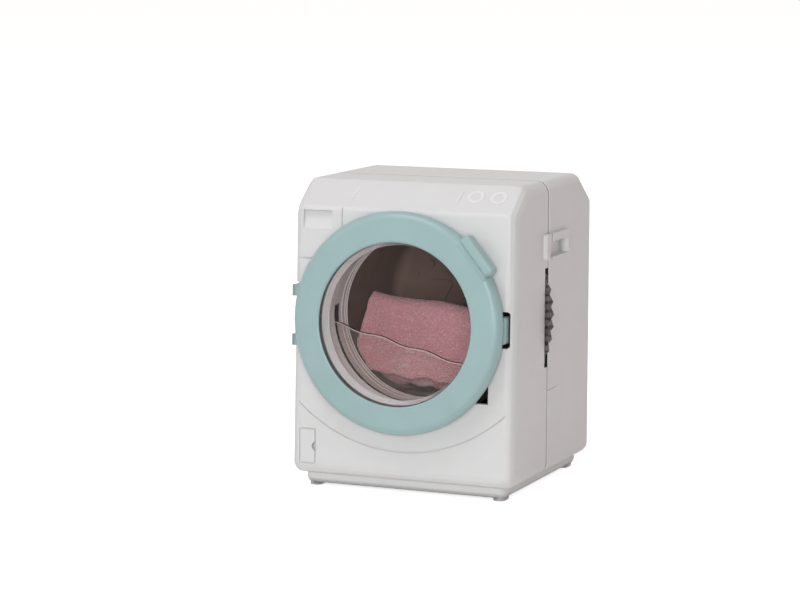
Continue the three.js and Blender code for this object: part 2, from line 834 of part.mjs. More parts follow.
function frontShell() {
  const back = seamDepth - seamGap / 2;
  const inside = outerForm.intersect(slab(shellWall / 2, back));
  const throatTube = solid(barY(throatRadius + throatWall, 0, drumHeight, 0, throatEnd, bigCircleSides));
  let body = hull.intersect(slab(-shellDepth, back));
  body = body.add(throatTube.intersect(inside));
  for (const [x, z] of postPlaces) {
    body = body.add(solid(barY(postRadius, x, z, 0, postMeeting, postSides)).intersect(inside));
  }
  for (const z of collarScrewHeights) {
    body = body.add(solid(barY(collarPostRadius, 0, z, 0, throatEnd, postSides)).intersect(inside));
  }
  body = body.add(solid(barZ(baseBossRadius, 0, baseScrewFront, shellBottom, shellBottom + baseBossHeight)));
  body = body.add(hingeNotch(notchWall).intersect(outerForm));
  body = body.subtract(hingeNotch(0)).add(hingeKnuckle().intersect(outerForm));
  const cuts = [
    solid(barY(throatRadius, 0, drumHeight, -shellDepth, throatEnd + overrun, bigCircleSides)),
    hingeBore(),
    latchSlot(),
    port(),
    ...drawerLines(),
    filterCoverLine(),
    filterNotch(),
    plinthArc(),
    drawerPull(),
    ...dialXs.map(dial),
    ...tickXs.map(tick),
    ...postPlaces.map(([x, z]) => pilot(screwRadius, x, z, screwSeat - screwLength - tipGap, seamDepth)),
    ...collarScrewHeights.map((z) => pilot(collarScrewRadius, 0, z, collarPilotEnd, throatEnd + overrun)),
    solid(barZ(screwRadius + screwBite, 0, baseScrewFront, 0, shellBottom + baseScrewLength, screwSides)),
  ];
  return cuts.reduce((rest, cut) => rest.subtract(cut), body);
}

// The deep hole in the rear face that a screw head goes down
function counterbore(x, z) {
  return solid(barY(screwHeadRadius + slipFit, x, z, screwSeat, shellDepth + overrun, postSides));
}

function rearShell() {
  const front = seamDepth + seamGap / 2;
  const lipOuter = housingForm(shellWall + slipFit);
  const lipInner = housingForm(shellWall + slipFit + lipThickness);
  const lip = lipOuter
    .subtract(lipInner)
    .subtract(bothSides(carryPocket(pocketBacking + slipFit)))
    .intersect(slab(seamDepth - lipLength, front + lipRoot));
  const root = housingForm(shellWall / 2).subtract(lipInner).intersect(slab(front, front + lipRoot));
  const inner = shellDepth - shellWall / 2;
  let body = hull.intersect(slab(front, 2 * shellDepth)).add(lip).add(root);
  for (const [x, z] of postPlaces) {
    body = body.add(solid(barY(postRadius, x, z, postMeeting, inner, postSides)));
  }
  body = body.add(solid(barY(axleBossRadius, 0, drumHeight, axleBossFront, inner)));
  body = body.add(solid(barZ(baseBossRadius, 0, baseScrewRear, shellBottom, shellBottom + baseBossHeight)));
  const cuts = [
    wheelWell(),
    bothSides(wheelSlot()),
    ...postPlaces.map(([x, z]) => solid(barY(screwRadius + slipFit, x, z, 0, shellDepth, screwSides))),
    ...postPlaces.map(([x, z]) => counterbore(x, z)),
    pilot(axleThreadRadius, 0, drumHeight, 0, axleBossFront + axleThreadLength + slipFit),
    solid(barZ(screwRadius + screwBite, 0, baseScrewRear, 0, shellBottom + baseScrewLength, screwSides)),
  ];
  return cuts.reduce((rest, cut) => rest.subtract(cut), body);
}

// A screw standing on the origin, its head up and its tip down the Y axis
function screw(shankRadius, headRadius, headHeight, length) {
  const dome = headHeight / 3;
  return turned([
    [0, -length],
    [shankRadius, -length + shankRadius],
    [shankRadius, 0],
    [headRadius, 0],
    [headRadius, headHeight - dome],
    [headRadius - dome, headHeight],
    [0, headHeight],
  ], 0, screwSides);
}

// The inner collar: a hoop round the wave plate's groove, then a sleeve into the drum
function innerCollar() {
  let body = solid(turned(closed([
    [throatRadius, throatEnd],
    [collarFlangeRadius, throatEnd],
    [collarFlangeRadius, throatEnd + collarFlangeThickness],
    [collarHoopRadius, throatEnd + collarFlangeThickness],
    [collarHoopRadius, collarHoopEnd],
    [throatRadius + collarWall, collarHoopEnd],
    [throatRadius + collarWall, collarEnd],
    [throatRadius, collarEnd],
  ]), drumHeight));
  const shape = new THREE.Shape();
  shape.moveTo(0, drumHeight);
  shape.absarc(0, drumHeight, waveGrooveRadius, Math.PI + waveGrooveEnd, 2 * Math.PI - waveGrooveEnd, false);
  const groove = extrudeY(shape, throatEnd - overrun, throatEnd + waveGrooveWidth, longArcSteps);
  body = body.subtract(solid(groove));
  for (const z of collarScrewHeights) {
    body = body.subtract(solid(barY(collarScrewRadius + slipFit, 0, z, 0, collarEnd)));
  }
  return body;
}

// The wave plate in its own frame: drum axis at the origin, chord level
function wavePlate() {
  const half = Math.acos(waveChordDepth / wavePlateRadius);
  const shape = new THREE.Shape();
  shape.absarc(0, 0, wavePlateRadius, -Math.PI / 2 - half, -Math.PI / 2 + half, false);
  const reach = wavePlateRadius * Math.sin(half);
  const steps = longArcSteps;
  for (let k = 1; k < steps; k += 1) {
    const x = reach - (2 * reach * k) / steps;
    const wave = waveHeight * Math.cos((2 * Math.PI * (x + waveCrestOffset)) / waveLength);
    shape.lineTo(x, wave - waveChordDepth);
  }
  return solid(extrudeY(shape, throatEnd + seatGap, throatEnd + seatGap + wavePlateThickness, longArcSteps));
}

function roundedTriangle(reach, angle) {
  const shape = new THREE.Shape();
  const spread = triangleSide / Math.sqrt(3) - triangleCorner;
  for (let k = 0; k < 3; k += 1) {
    const turn = -Math.PI / 2 + (2 * Math.PI * k) / 3;
    const x = reach * Math.cos(angle) + spread * Math.cos(turn);
    const z = reach * Math.sin(angle) + spread * Math.sin(turn);
    shape.absarc(x, drumHeight + z, triangleCorner, turn - Math.PI / 3, turn + Math.PI / 3);
  }
  return solid(extrudeY(shape, drumFloor - reliefHeight, drumFloor + drumWall / 2));
}

function bubble(wallGap, angle, radius) {
  const reach = drumInnerRadius - wallGap;
  const x = reach * Math.cos(angle);
  const z = drumHeight + reach * Math.sin(angle);
  return solid(barY(radius, x, z, drumFloor - bubbleHeight, drumFloor + drumWall / 2, smallCircleSides / 2));
}

function drumCup() {
  const shoulderBack = wheelFront + wheelThickness + wheelShoulderThickness;
  const outerRounding = drumFloorRounding + drumWall;
  const inner = [];
  const outer = [];
  for (let k = 0; k <= smallCornerSteps; k += 1) {
    const angle = (Math.PI / 2) * (k / smallCornerSteps);
    const across = drumInnerRadius - drumFloorRounding;
    const along = drumFloor - drumFloorRounding;
    inner.push([across + drumFloorRounding * Math.sin(angle), along + drumFloorRounding * Math.cos(angle)]);
    outer.push([across + outerRounding * Math.cos(angle), along + outerRounding * Math.sin(angle)]);
  }
  let body = solid(turned(closed([
    [axleShoulderRadius + runningFit, drumFloor],
    ...inner,
    [drumInnerRadius, drumMouth],
    [drumOuterRadius, drumMouth],
    [drumOuterRadius, wheelFront + wheelThickness],
    [drumOuterRadius + wheelShoulderHeight, wheelFront + wheelThickness],
    [drumOuterRadius + wheelShoulderHeight, shoulderBack],
    [drumOuterRadius, shoulderBack],
    ...outer,
    [drumHubRadius, drumBack],
    [drumHubRadius, hubBack],
    [axleShoulderRadius + runningFit, hubBack],
  ]), drumHeight));
  for (const angle of wheelKeyAngles) {
    body = body.add(wheelKey(angle, 0));
  }
  for (const angle of triangleAngles) {
    body = body.add(roundedTriangle(triangleReach, angle));
  }
  bubbleRadii.forEach((radius, i) => {
    body = body.add(bubble(bubbleWallGaps[i], bubbleStart + i * bubbleStep, radius));
  });
  return body;
}

const wheelKeyAngles = Array.from({ length: wheelKeyCount }, (_, k) => (2 * Math.PI * k) / wheelKeyCount);

// A key on the drum, or with play the keyway that takes it
function wheelKey(angle, play) {
  const geometry = block(
    [drumInnerRadius + drumWall / 2, wheelFront, -wheelKeyWidth / 2 - play],
    [drumOuterRadius + wheelKeyHeight + play, wheelFront + wheelThickness, wheelKeyWidth / 2 + play],
  );
  geometry.rotateY(angle);
  geometry.translate(0, 0, drumHeight);
  return solid(geometry);
}

// Turns a body's rear against its front about the drum axis, so that its ridges slant
function twisted(geometry, from, to, angle) {
  const axis = new THREE.Vector3(0, 1, 0);
  const centre = new THREE.Vector3(0, 0, drumHeight);
  const corners = geometry.attributes.position;
  const corner = new THREE.Vector3();
  for (let i = 0; i < corners.count; i += 1) {
    corner.fromBufferAttribute(corners, i).sub(centre);
    corner.applyAxisAngle(axis, (angle * (corner.y - from)) / (to - from)).add(centre);
    corners.setXYZ(i, corner.x, corner.y, corner.z);
  }
  return geometry;
}

function thumbWheel() {
  const shape = new THREE.Shape();
  const count = scallopCount * scallopSteps;
  for (let k = 0; k < count; k += 1) {
    const angle = (2 * Math.PI * k) / count;
    const dip = (scallopDepth * (1 - Math.cos(scallopCount * angle))) / 2;
    const radius = wheelRadius - dip;
    const [x, z] = [radius * Math.cos(angle), drumHeight + radius * Math.sin(angle)];
    if (k === 0) shape.moveTo(x, z);
    else shape.lineTo(x, z);
  }
  const rear = wheelFront + wheelThickness;
  const straight = extrudeY(shape, wheelFront, rear, smallCornerSteps, scallopTwistSteps);
  const twist = (scallopTwistShare * 2 * Math.PI) / scallopCount;
  let body = solid(twisted(straight, wheelFront, rear, twist));
  const bore = drumOuterRadius + slipFit;
  body = body.subtract(solid(barY(bore, 0, drumHeight, 0, shellDepth, bigCircleSides)));
  for (const angle of wheelKeyAngles) {
    body = body.subtract(wheelKey(angle, slipFit));
  }
  return body;
}

function drumAxle() {
  const headFront = drumFloor - slipFit - axleHeadThickness;
  const dome = axleHeadThickness / 3;
  return solid(turned([
    [0, headFront],
    [axleHeadRadius - dome, headFront],
    [axleHeadRadius, headFront + dome],
    [axleHeadRadius, headFront + axleHeadThickness],
    [axleShoulderRadius, headFront + axleHeadThickness],
    [axleShoulderRadius, axleBossFront],
    [axleThreadRadius, axleBossFront],
    [axleThreadRadius, axleBossFront + axleThreadLength],
    [0, axleBossFront + axleThreadLength],
  ], drumHeight, smallCircleSides));
}

// Base plinth: a shallow tray with a rounded lower rim and a foot at each corner
function plinthOutline(inset) {
  return roundedRectangle(
    -plinthHalfWidth + inset,
    plinthFront + inset,
    plinthHalfWidth - inset,
    plinthRear - inset,
    Math.max(plinthCorner - inset, sharpestRadius),
  );
}

function basePlinth() {
  const rounding = (shellBottom - plinthBottom) / 2;
  const rounded = new THREE.ExtrudeGeometry(plinthOutline(0), {
    depth: 2 * rounding,
    bevelThickness: rounding,
    bevelSize: rounding,
    bevelOffset: -rounding,
    bevelSegments: plinthRimSteps,
    curveSegments: smallCornerSteps,
  });
  rounded.translate(0, 0, plinthBottom + rounding);
  const hollow = new THREE.ExtrudeGeometry(plinthOutline(plinthRim), {
    depth: shellBottom - plinthPlate + overrun,
    bevelEnabled: false,
    curveSegments: smallCornerSteps,
  });
  hollow.translate(0, 0, -overrun);
  const above = block([-shellWidth, -shellDepth, shellBottom], [shellWidth, 2 * shellDepth, machineHeight]);
  let body = solid(rounded).subtract(solid(above)).subtract(solid(hollow));
  const outer = plinthHalfWidth - footInset;
  for (const x of [-outer, outer - footWidth]) {
    for (const y of [plinthFront + footInset, plinthRear - footInset - footLength]) {
      const outline = roundedRectangle(x, y, x + footWidth, y + footLength, footCorner);
      const foot = new THREE.ExtrudeGeometry(outline, {
        depth: shellBottom - plinthPlate / 2,
        bevelEnabled: false,
        curveSegments: cornerSteps,
      });
      body = body.add(solid(foot));
    }
  }
  for (const y of [baseScrewFront, baseScrewRear]) {
    body = body.subtract(solid(barZ(screwRadius + slipFit, 0, y, 0, machineHeight, screwSides)));
  }
  return body;
}

// The door is drawn in the front face frame: Y into the housing, so proud heights are negative
function doorRing() {
  const seat = windowFlangeProud + seatGap;
  const retainerSeat = windowFlangeProud - windowFlangeThickness - seatGap;
  const roundingCentre = ringOuterRadius - ringOuterRounding;
  const backCentre = ringOuterRadius - ringBackRounding;
  const rim = [];
  for (let k = 0; k <= smallCornerSteps; k += 1) {
    const angle = (Math.PI / 2) * (k / smallCornerSteps);
    const radius = backCentre + ringBackRounding * Math.sin(angle);
    rim.push([radius, -(doorGap + ringBackRounding - ringBackRounding * Math.cos(angle))]);
  }
  for (let k = 0; k <= cornerSteps; k += 1) {
    const angle = (Math.PI / 2) * (k / cornerSteps);
    const radius = roundingCentre + ringOuterRounding * Math.cos(angle);
    rim.push([radius, -(ringOuterProud - ringOuterRounding + ringOuterRounding * Math.sin(angle))]);
  }
  let body = solid(turned(closed([
    [ringInnerRadius, -seat],
    [windowFlangeRadius + slipFit, -seat],
    [windowFlangeRadius + slipFit, -retainerSeat],
    [retainerRadius + slipFit, -retainerSeat],
    [retainerRadius + slipFit, -doorGap],
    ...rim,
    [ringInnerRadius + ringInnerBevel, -ringInnerProud],
    [ringInnerRadius, -ringInnerProud + ringInnerBevel],
  ]), 0));
  body = body.add(doorHandle());
  for (const [low, high] of [[lowerLugLow, lowerLugHigh], [upperLugLow, upperLugHigh]]) {
    body = body.add(hingeLug(upFace(low), upFace(high)));
  }
  return body.add(latchTab());
}

// The pull on the ring's upper right: a pad level with the ring's face carries a
// rounded bar that stands out past the rim
function doorHandle() {
  const bevel = {
    depth: handleTopProud - handleBackProud - 2 * handleEdge,
    bevelEnabled: true,
    bevelSize: handleEdge,
    bevelOffset: -handleEdge,
    bevelThickness: handleEdge,
    bevelSegments: 2,
    curveSegments: cornerSteps,
  };
  const half = handleLength / 2;
  const bar = roundedRectangle(
    handleReach - handleWidth / 2,
    -half,
    handleReach + handleWidth / 2,
    half,
    handleWidth / 2 - handleEdge / 2,
  );
  const grip = new THREE.ExtrudeGeometry(bar, bevel);
  grip.rotateX(Math.PI / 2);
  grip.translate(0, -handleBackProud - handleEdge, 0);
  grip.rotateY(-handleAngle);
  const padHalf = handlePadLength / 2;
  const pad = polygon([
    [handlePadInner, -padHalf],
    [handleReach - handleWidth / 2, -padHalf],
    [handleReach + handleWidth / 4, -half + handleEdge],
    [handleReach + handleWidth / 4, half - handleEdge],
    [handleReach - handleWidth / 2, padHalf],
    [handlePadInner, padHalf],
  ]);
  const root = extrudeY(pad, -ringOuterProud, -handleBackProud + handleEdge);
  root.rotateY(-handleAngle);
  return solid(grip).add(solid(root));
}

// A lug that reaches back round the hinge pin
function hingeLug(low, high) {
  const barrel = solid(barZ(hingeBarrelRadius, hingeX, hingeDepth, low, high));
  const arm = solid(block(
    [hingeX - hingeBarrelRadius, -ringOuterProud / 2, low],
    [notchX - seatGap, hingeDepth, high],
  ));
  const bore = solid(barZ(hingePinRadius + runningFit, hingeX, hingeDepth, low - overrun, high + overrun));
  return barrel.add(arm).subtract(bore);
}

function latchTab() {
  const shape = roundedRectangle(
    latchTabInner,
    upFace(latchTabLow),
    latchTabOuter,
    upFace(latchTabHigh),
    latchCorner,
  );
  return solid(extrudeY(shape, -latchTabProud, latchTabReach));
}

// A clear pane, dished inwards, with a flat flange
function doorWindow() {
  const front = [];
  const back = [];
  for (let k = 0; k <= windowBowlSteps; k += 1) {
    const share = k / windowBowlSteps;
    const sink = windowBowlDepth * (1 - share * share);
    front.push([windowBowlRadius * share, -windowFlangeProud + sink]);
    back.push([windowBowlRadius * share, -windowFlangeProud + sink + windowFlangeThickness]);
  }
  return solid(turned([
    ...front,
    [windowFlangeRadius, -windowFlangeProud],
    [windowFlangeRadius, -windowFlangeProud + windowFlangeThickness],
    ...back.reverse(),
  ], 0));
}

function windowRetainer() {
  const front = windowFlangeProud - windowFlangeThickness - seatGap;
  return solid(turned(closed([
    [retainerInnerRadius, -front],
    [retainerRadius, -front],
    [retainerRadius, -front + retainerThickness],
    [retainerInnerRadius, -front + retainerThickness],
  ]), 0));
}

// The serpentine outline of the layers, in Y and Z: the front edge goes up and
// down from fold to fold, then the same way back one thickness behind
function towelSection() {
  const pitch = towelLayerThickness + towelLayerGap;
  const middle = [];
  for (let layer = 0; layer < towelLayers; layer += 1) {
    const y = towelFront + towelLayerThickness / 2 + layer * pitch;
    const up = layer % 2 === 0;
    const half = towelLayerThickness / 2;
    const [start, end] = up ? [towelFoot + half, towelTop - half] : [towelTop - half, towelFoot + half];
    const rounding = pitch / 2;
    const inset = up ? rounding : -rounding;
    middle.push([y, layer === 0 ? start : start + inset]);
    middle.push([y, layer === towelLayers - 1 ? end : end - inset]);
    if (layer === towelLayers - 1) break;
    for (let k = 1; k < towelFoldSteps; k += 1) {
      const angle = Math.PI * (k / towelFoldSteps);
      const lift = (up ? 1 : -1) * rounding * Math.sin(angle);
      middle.push([y + rounding * (1 - Math.cos(angle)), end - inset + lift]);
    }
  }
  const half = towelLayerThickness / 2;
  const near = [];
  const far = [];
  middle.forEach(([y, z], i) => {
    const [y0, z0] = middle[Math.max(i - 1, 0)];
    const [y1, z1] = middle[Math.min(i + 1, middle.length - 1)];
    const along = new THREE.Vector2(y1 - y0, z1 - z0).normalize();
    near.push([y - along.y * half, z + along.x * half]);
    far.push([y + along.y * half, z - along.x * half]);
  });
  return polygon([...near, ...far.reverse()]);
}

function laundryTowel() {
  const layers = extrudeX(towelSection(), -towelFootWidth / 2, towelFootWidth / 2);
  const outline = extrudeY(polygon([
    [-towelFootWidth / 2, towelFoot],
    [towelFootWidth / 2, towelFoot],
    [towelTopWidth / 2, towelTop],
    [-towelTopWidth / 2, towelTop],
  ]), collarEnd, drumFloor);
  for (const geometry of [layers, outline]) {
    geometry.translate(-towelOffset, 0, -drumHeight);
    geometry.rotateY(towelTilt);
    geometry.translate(0, 0, drumHeight);
  }
  const space = barY(drumInnerRadius - towelDrumGap, 0, drumHeight, collarEnd, drumFloor, bigCircleSides);
  return solid(layers).intersect(solid(outline)).intersect(solid(space));
}

// Assembly
const machine = new THREE.Group();

machine.add(piece('front_shell', frontShell(), whitePlastic));
machine.add(piece('rear_shell', rearShell(), shadePlastic));
machine.add(piece('inner_collar', innerCollar(), whitePlastic));
machine.add(piece('base_plinth', basePlinth(), whitePlastic));
machine.add(piece('drum_cup', drumCup(), darkPlastic));
machine.add(piece('thumb_wheel', thumbWheel(), darkPlastic));
machine.add(piece('drum_axle', drumAxle(), steel));
machine.add(piece('laundry_towel', laundryTowel(), terry));

const plate = piece('wave_plate', wavePlate(), clearPlastic);
plate.rotation.y = wavePlateTilt;
plate.position.z = drumHeight;
machine.add(plate);

const housingScrew = solid(screw(screwRadius, screwHeadRadius, screwHeadHeight, screwLength));
postPlaces.forEach(([x, z], i) => {
  const mesh = piece(`housing_screw_${i + 1}`, housingScrew, steel);
  mesh.position.set(x, screwSeat, z);
  machine.add(mesh);
});

const collarScrew = solid(screw(
  collarScrewRadius,
  collarScrewHeadRadius,
  collarScrewHeadHeight,
  collarScrewLength,
));
collarScrewHeights.forEach((z, i) => {
  const mesh = piece(`collar_screw_${i + 1}`, collarScrew, steel);
  mesh.position.set(0, throatEnd + collarFlangeThickness, z);
  machine.add(mesh);
});

const baseScrew = solid(screw(screwRadius, screwHeadRadius, screwHeadHeight, baseScrewLength - plinthPlate));
[baseScrewFront, baseScrewRear].forEach((y, i) => {
  const mesh = piece(`base_screw_${i + 1}`, baseScrew, steel);
  mesh.rotation.x = -Math.PI / 2;
  mesh.position.set(0, y, shellBottom - plinthPlate);
  machine.add(mesh);
});

const door = new THREE.Group();
door.applyMatrix4(faceFrame);
door.add(piece('door_ring', doorRing(), mintPlastic));
door.add(piece('door_window', doorWindow(), clearPlastic));
door.add(piece('window_retainer', windowRetainer(), mintPlastic));
const pinLow = upFace(lowerLugLow) + seatGap;
const pinHigh = upFace(upperLugHigh) - seatGap;
door.add(piece('hinge_pin', solid(barZ(hingePinRadius, hingeX, hingeDepth, pinLow, pinHigh)), steel));
machine.add(door);

// The origin is under the middle of the whole machine, on the floor
machine.updateMatrixWorld(true);
const reach = new THREE.Box3().setFromObject(machine, true);
machine.position.y = -(reach.min.y + reach.max.y) / 2;
machine.updateMatrixWorld(true);

export default machine;
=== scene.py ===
# Toy washing machine for a doll's house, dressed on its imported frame. Metres, +X
# to the right seen from the front, +Y to the back, +Z up. Each sub-assembly is a
# class with its sizes as fields; each finish is a dataclass that builds its own
# material.

import json
import logging
import math
from dataclasses import dataclass
from enum import Enum
from typing import Callable, Iterable, Optional, Sequence

import bpy
from mathutils import Matrix, Vector, noise


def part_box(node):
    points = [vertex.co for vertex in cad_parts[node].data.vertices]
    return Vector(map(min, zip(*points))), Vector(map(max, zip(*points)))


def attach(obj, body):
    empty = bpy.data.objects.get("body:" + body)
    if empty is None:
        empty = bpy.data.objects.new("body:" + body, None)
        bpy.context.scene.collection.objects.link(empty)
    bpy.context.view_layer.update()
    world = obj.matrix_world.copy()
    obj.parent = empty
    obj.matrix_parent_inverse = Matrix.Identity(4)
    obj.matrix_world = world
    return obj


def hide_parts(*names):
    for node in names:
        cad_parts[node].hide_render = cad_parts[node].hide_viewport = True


logging.basicConfig(level=logging.INFO, format="%(name)s: %(message)s")
LOG = logging.getLogger("washing_machine")

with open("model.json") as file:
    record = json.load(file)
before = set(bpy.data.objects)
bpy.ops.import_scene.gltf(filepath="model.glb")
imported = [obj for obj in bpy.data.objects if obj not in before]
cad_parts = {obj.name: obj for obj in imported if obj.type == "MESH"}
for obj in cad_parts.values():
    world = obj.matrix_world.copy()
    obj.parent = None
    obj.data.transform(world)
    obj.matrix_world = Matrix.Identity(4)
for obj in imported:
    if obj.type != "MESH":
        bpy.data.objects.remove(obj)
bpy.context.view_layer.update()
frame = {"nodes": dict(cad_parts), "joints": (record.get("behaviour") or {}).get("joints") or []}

Colour = tuple[float, float, float]
Span = tuple[float, float]
Profile = list[tuple[float, float]]
Socket = bpy.types.NodeSocket

PURE_WHITE: Colour = (1.0, 1.0, 1.0)
# A noise's stretch along X, Y and Z when its blotches are round.
EVEN = (1.0, 1.0, 1.0)
# Length of one band of the wave texture at scale 1, in metres.
WAVE_LENGTH = 0.314


class Body(Enum):
    """The bodies that a piece can ride on."""

    HOUSING = "housing"
    DOOR = "door"
    DRUM = "drum"
    WAVE = "wave"


class Slot(Enum):
    """The material slots of the record."""

    WHITE = "white_plastic"
    MINT = "mint_plastic"
    DARK = "dark_plastic"
    CLEAR = "clear_plastic"
    STEEL = "steel"
    TERRY = "terry_cloth"


def linear(red: int, green: int, blue: int) -> Colour:
    """Turn a display colour into the shader's linear one.

    Args:
        red: Red, 0 to 255.
        green: Green, 0 to 255.
        blue: Blue, 0 to 255.

    Returns:
        The same colour in linear light.
    """

    def one(value: int) -> float:
        """Turn one channel."""
        share = value / 255
        return share / 12.92 if share <= 0.04045 else ((share + 0.055) / 1.055) ** 2.4

    return one(red), one(green), one(blue)


@dataclass(frozen=True)
class Blotches:
    """Noise that varies a finish: its size and detail, and the span that counts."""

    size: float
    detail: float = 3.0
    roughness: float = 0.5
    start: float = 0.3
    end: float = 0.7
    stretch: Colour = EVEN


@dataclass(frozen=True)
class Relief:
    """Noise that roughens a finish, finer than any geometry."""

    size: float
    detail: float
    depth: float
    strength: float
    roughness: float = 0.5


@dataclass(frozen=True)
class SeamLine:
    """A painted line along the shells' seam, full and none at two distances from its middle."""

    shift: float
    full: float
    none: float
    strength: float
    colour: Colour


def shaded(colour: Colour, share: float) -> Colour:
    """Return a colour with its channels multiplied by a share."""
    return tuple(channel * share for channel in colour)


class ShaderTree:
    """The nodes of a material or the world, added and linked by short calls."""

    def __init__(self, block: bpy.types.ID, output: str = "OutputMaterial") -> None:
        """Start an empty tree.

        Args:
            block: The material or the world.
            output: Type of its output node, without the ShaderNode prefix.
        """
        block.use_nodes = True
        self.block, self.output = block, output
        self.nodes, self.links = block.node_tree.nodes, block.node_tree.links
        self.nodes.clear()

    def add(self, kind: str, settings: Optional[dict] = None, **sockets: object) -> bpy.types.Node:
        """Add a node.

        Args:
            kind: The node's type, without the ShaderNode prefix.
            settings: Properties of the node itself.
            **sockets: Input values or links, by socket name with _ for a space.

        Returns:
            The new node.
        """
        node = self.nodes.new("ShaderNode" + kind)
        for key, value in (settings or {}).items():
            setattr(node, key, value)
        for key, value in sockets.items():
            self.feed(node.inputs[key.replace("_", " ")], value)
        return node

    def feed(self, socket: Socket, value: object) -> None:
        """Set a socket's value, or link it when the value is another socket.

        Args:
            socket: The input.
            value: A number, a colour or an output socket.
        """
        if isinstance(value, Socket):
            self.links.new(value, socket)
        elif isinstance(value, tuple) and len(value) == 3 and socket.type == "RGBA":
            socket.default_value = (*value, 1.0)
        else:
            socket.default_value = value

    def place(self) -> Socket:
        """Return the point on the piece, in the machine's frame."""
        return self.add("TexCoord").outputs["Object"]

    def wire(self, kind: str, settings: dict, *values: object) -> bpy.types.Node:
        """Add a node and feed its inputs in order.

        Args:
            kind: The node's type, without the ShaderNode prefix.
            settings: Properties of the node itself.
            *values: Input values or links, None for an input that is left alone.

        Returns:
            The new node.
        """
        node = self.add(kind, settings)
        for socket, value in zip(node.inputs, values):
            if value is not None:
                self.feed(socket, value)
        return node

    def vector(self, operation: str, *values: object) -> bpy.types.Node:
        """Combine vectors by a Vector Math node's operation."""
        return self.wire("VectorMath", {"operation": operation}, *values)

    def maths(self, operation: str, *values: object) -> Socket:
        """Combine numbers by a Math node's operation."""
        return self.wire("Math", {"operation": operation}, *values).outputs[0]

    def mix(self, share: object, first: Socket, second: Socket) -> Socket:
        """Mix two shaders by the share of the second one."""
        return self.wire("MixShader", {}, share, first, second).outputs[0]

    def blend(self, share: object, first: object, second: object) -> Socket:
        """Mix two colours by the share of the second one; the node keeps them in inputs 6 and 7."""
        return self.wire("Mix", {"data_type": "RGBA"}, share, *[None] * 5, first, second).outputs[2]

    def remap(self, value: Socket, low: float, high: float, to_low: float, to_high: float) -> Socket:
        """Map a value from one range to another, clamped."""
        return self.wire("MapRange", {}, value, low, high, to_low, to_high).outputs["Result"]

    def noise(self, size: float, detail: float, roughness: float, stretch: Colour = EVEN) -> Socket:
        """Add a noise whose blotches are about one size across, stretched along X, Y and Z."""
        spot = self.vector("DIVIDE", self.place(), stretch).outputs["Vector"]
        return self.add("TexNoise", Vector=spot, Scale=1 / size, Detail=detail, Roughness=roughness).outputs[0]

    def spread(self, blotches: Blotches, low: float, high: float) -> Socket:
        """Turn blotches into values, low outside them and high inside."""
        spots = self.noise(blotches.size, blotches.detail, blotches.roughness, blotches.stretch)
        return self.remap(spots, blotches.start, blotches.end, low, high)

    def roughen(self, relief: Relief, normal: Optional[Socket] = None) -> Socket:
        """Roughen the surface, on top of a normal where there is one."""
        height = self.noise(relief.size, relief.detail, relief.roughness)
        return self.bump(height, relief.depth, relief.strength, normal)

    def bump(self, height: Socket, depth: float, strength: float, normal: Optional[Socket] = None) -> Socket:
        """Turn a height into a surface normal.

        Args:
            height: The height, 0 to 1.
            depth: How deep 1 is, in metres.
            strength: Strength of the effect.
            normal: The normal that it works on.

        Returns:
            The new normal.
        """
        node = self.add("Bump", Height=height, Distance=depth, Strength=strength)
        if normal is not None:
            self.feed(node.inputs["Normal"], normal)
        return node.outputs["Normal"]

    def watched(self) -> Socket:
        """Tell whether a ray looks at the surface, straight, in a gloss or through clear plastic.

        Returns:
            1 for such a ray, 0 for a ray that only gathers light.
        """
        path = self.add("LightPath").outputs
        seen = self.maths("MAXIMUM", path["Is Camera Ray"], path["Is Glossy Ray"])
        return self.maths("MAXIMUM", seen, path["Is Transmission Ray"])

    def finish(self, shader: Socket) -> bpy.types.ID:
        """Link the surface and return the material or the world."""
        self.feed(self.add(self.output).inputs["Surface"], shader)
        return self.block


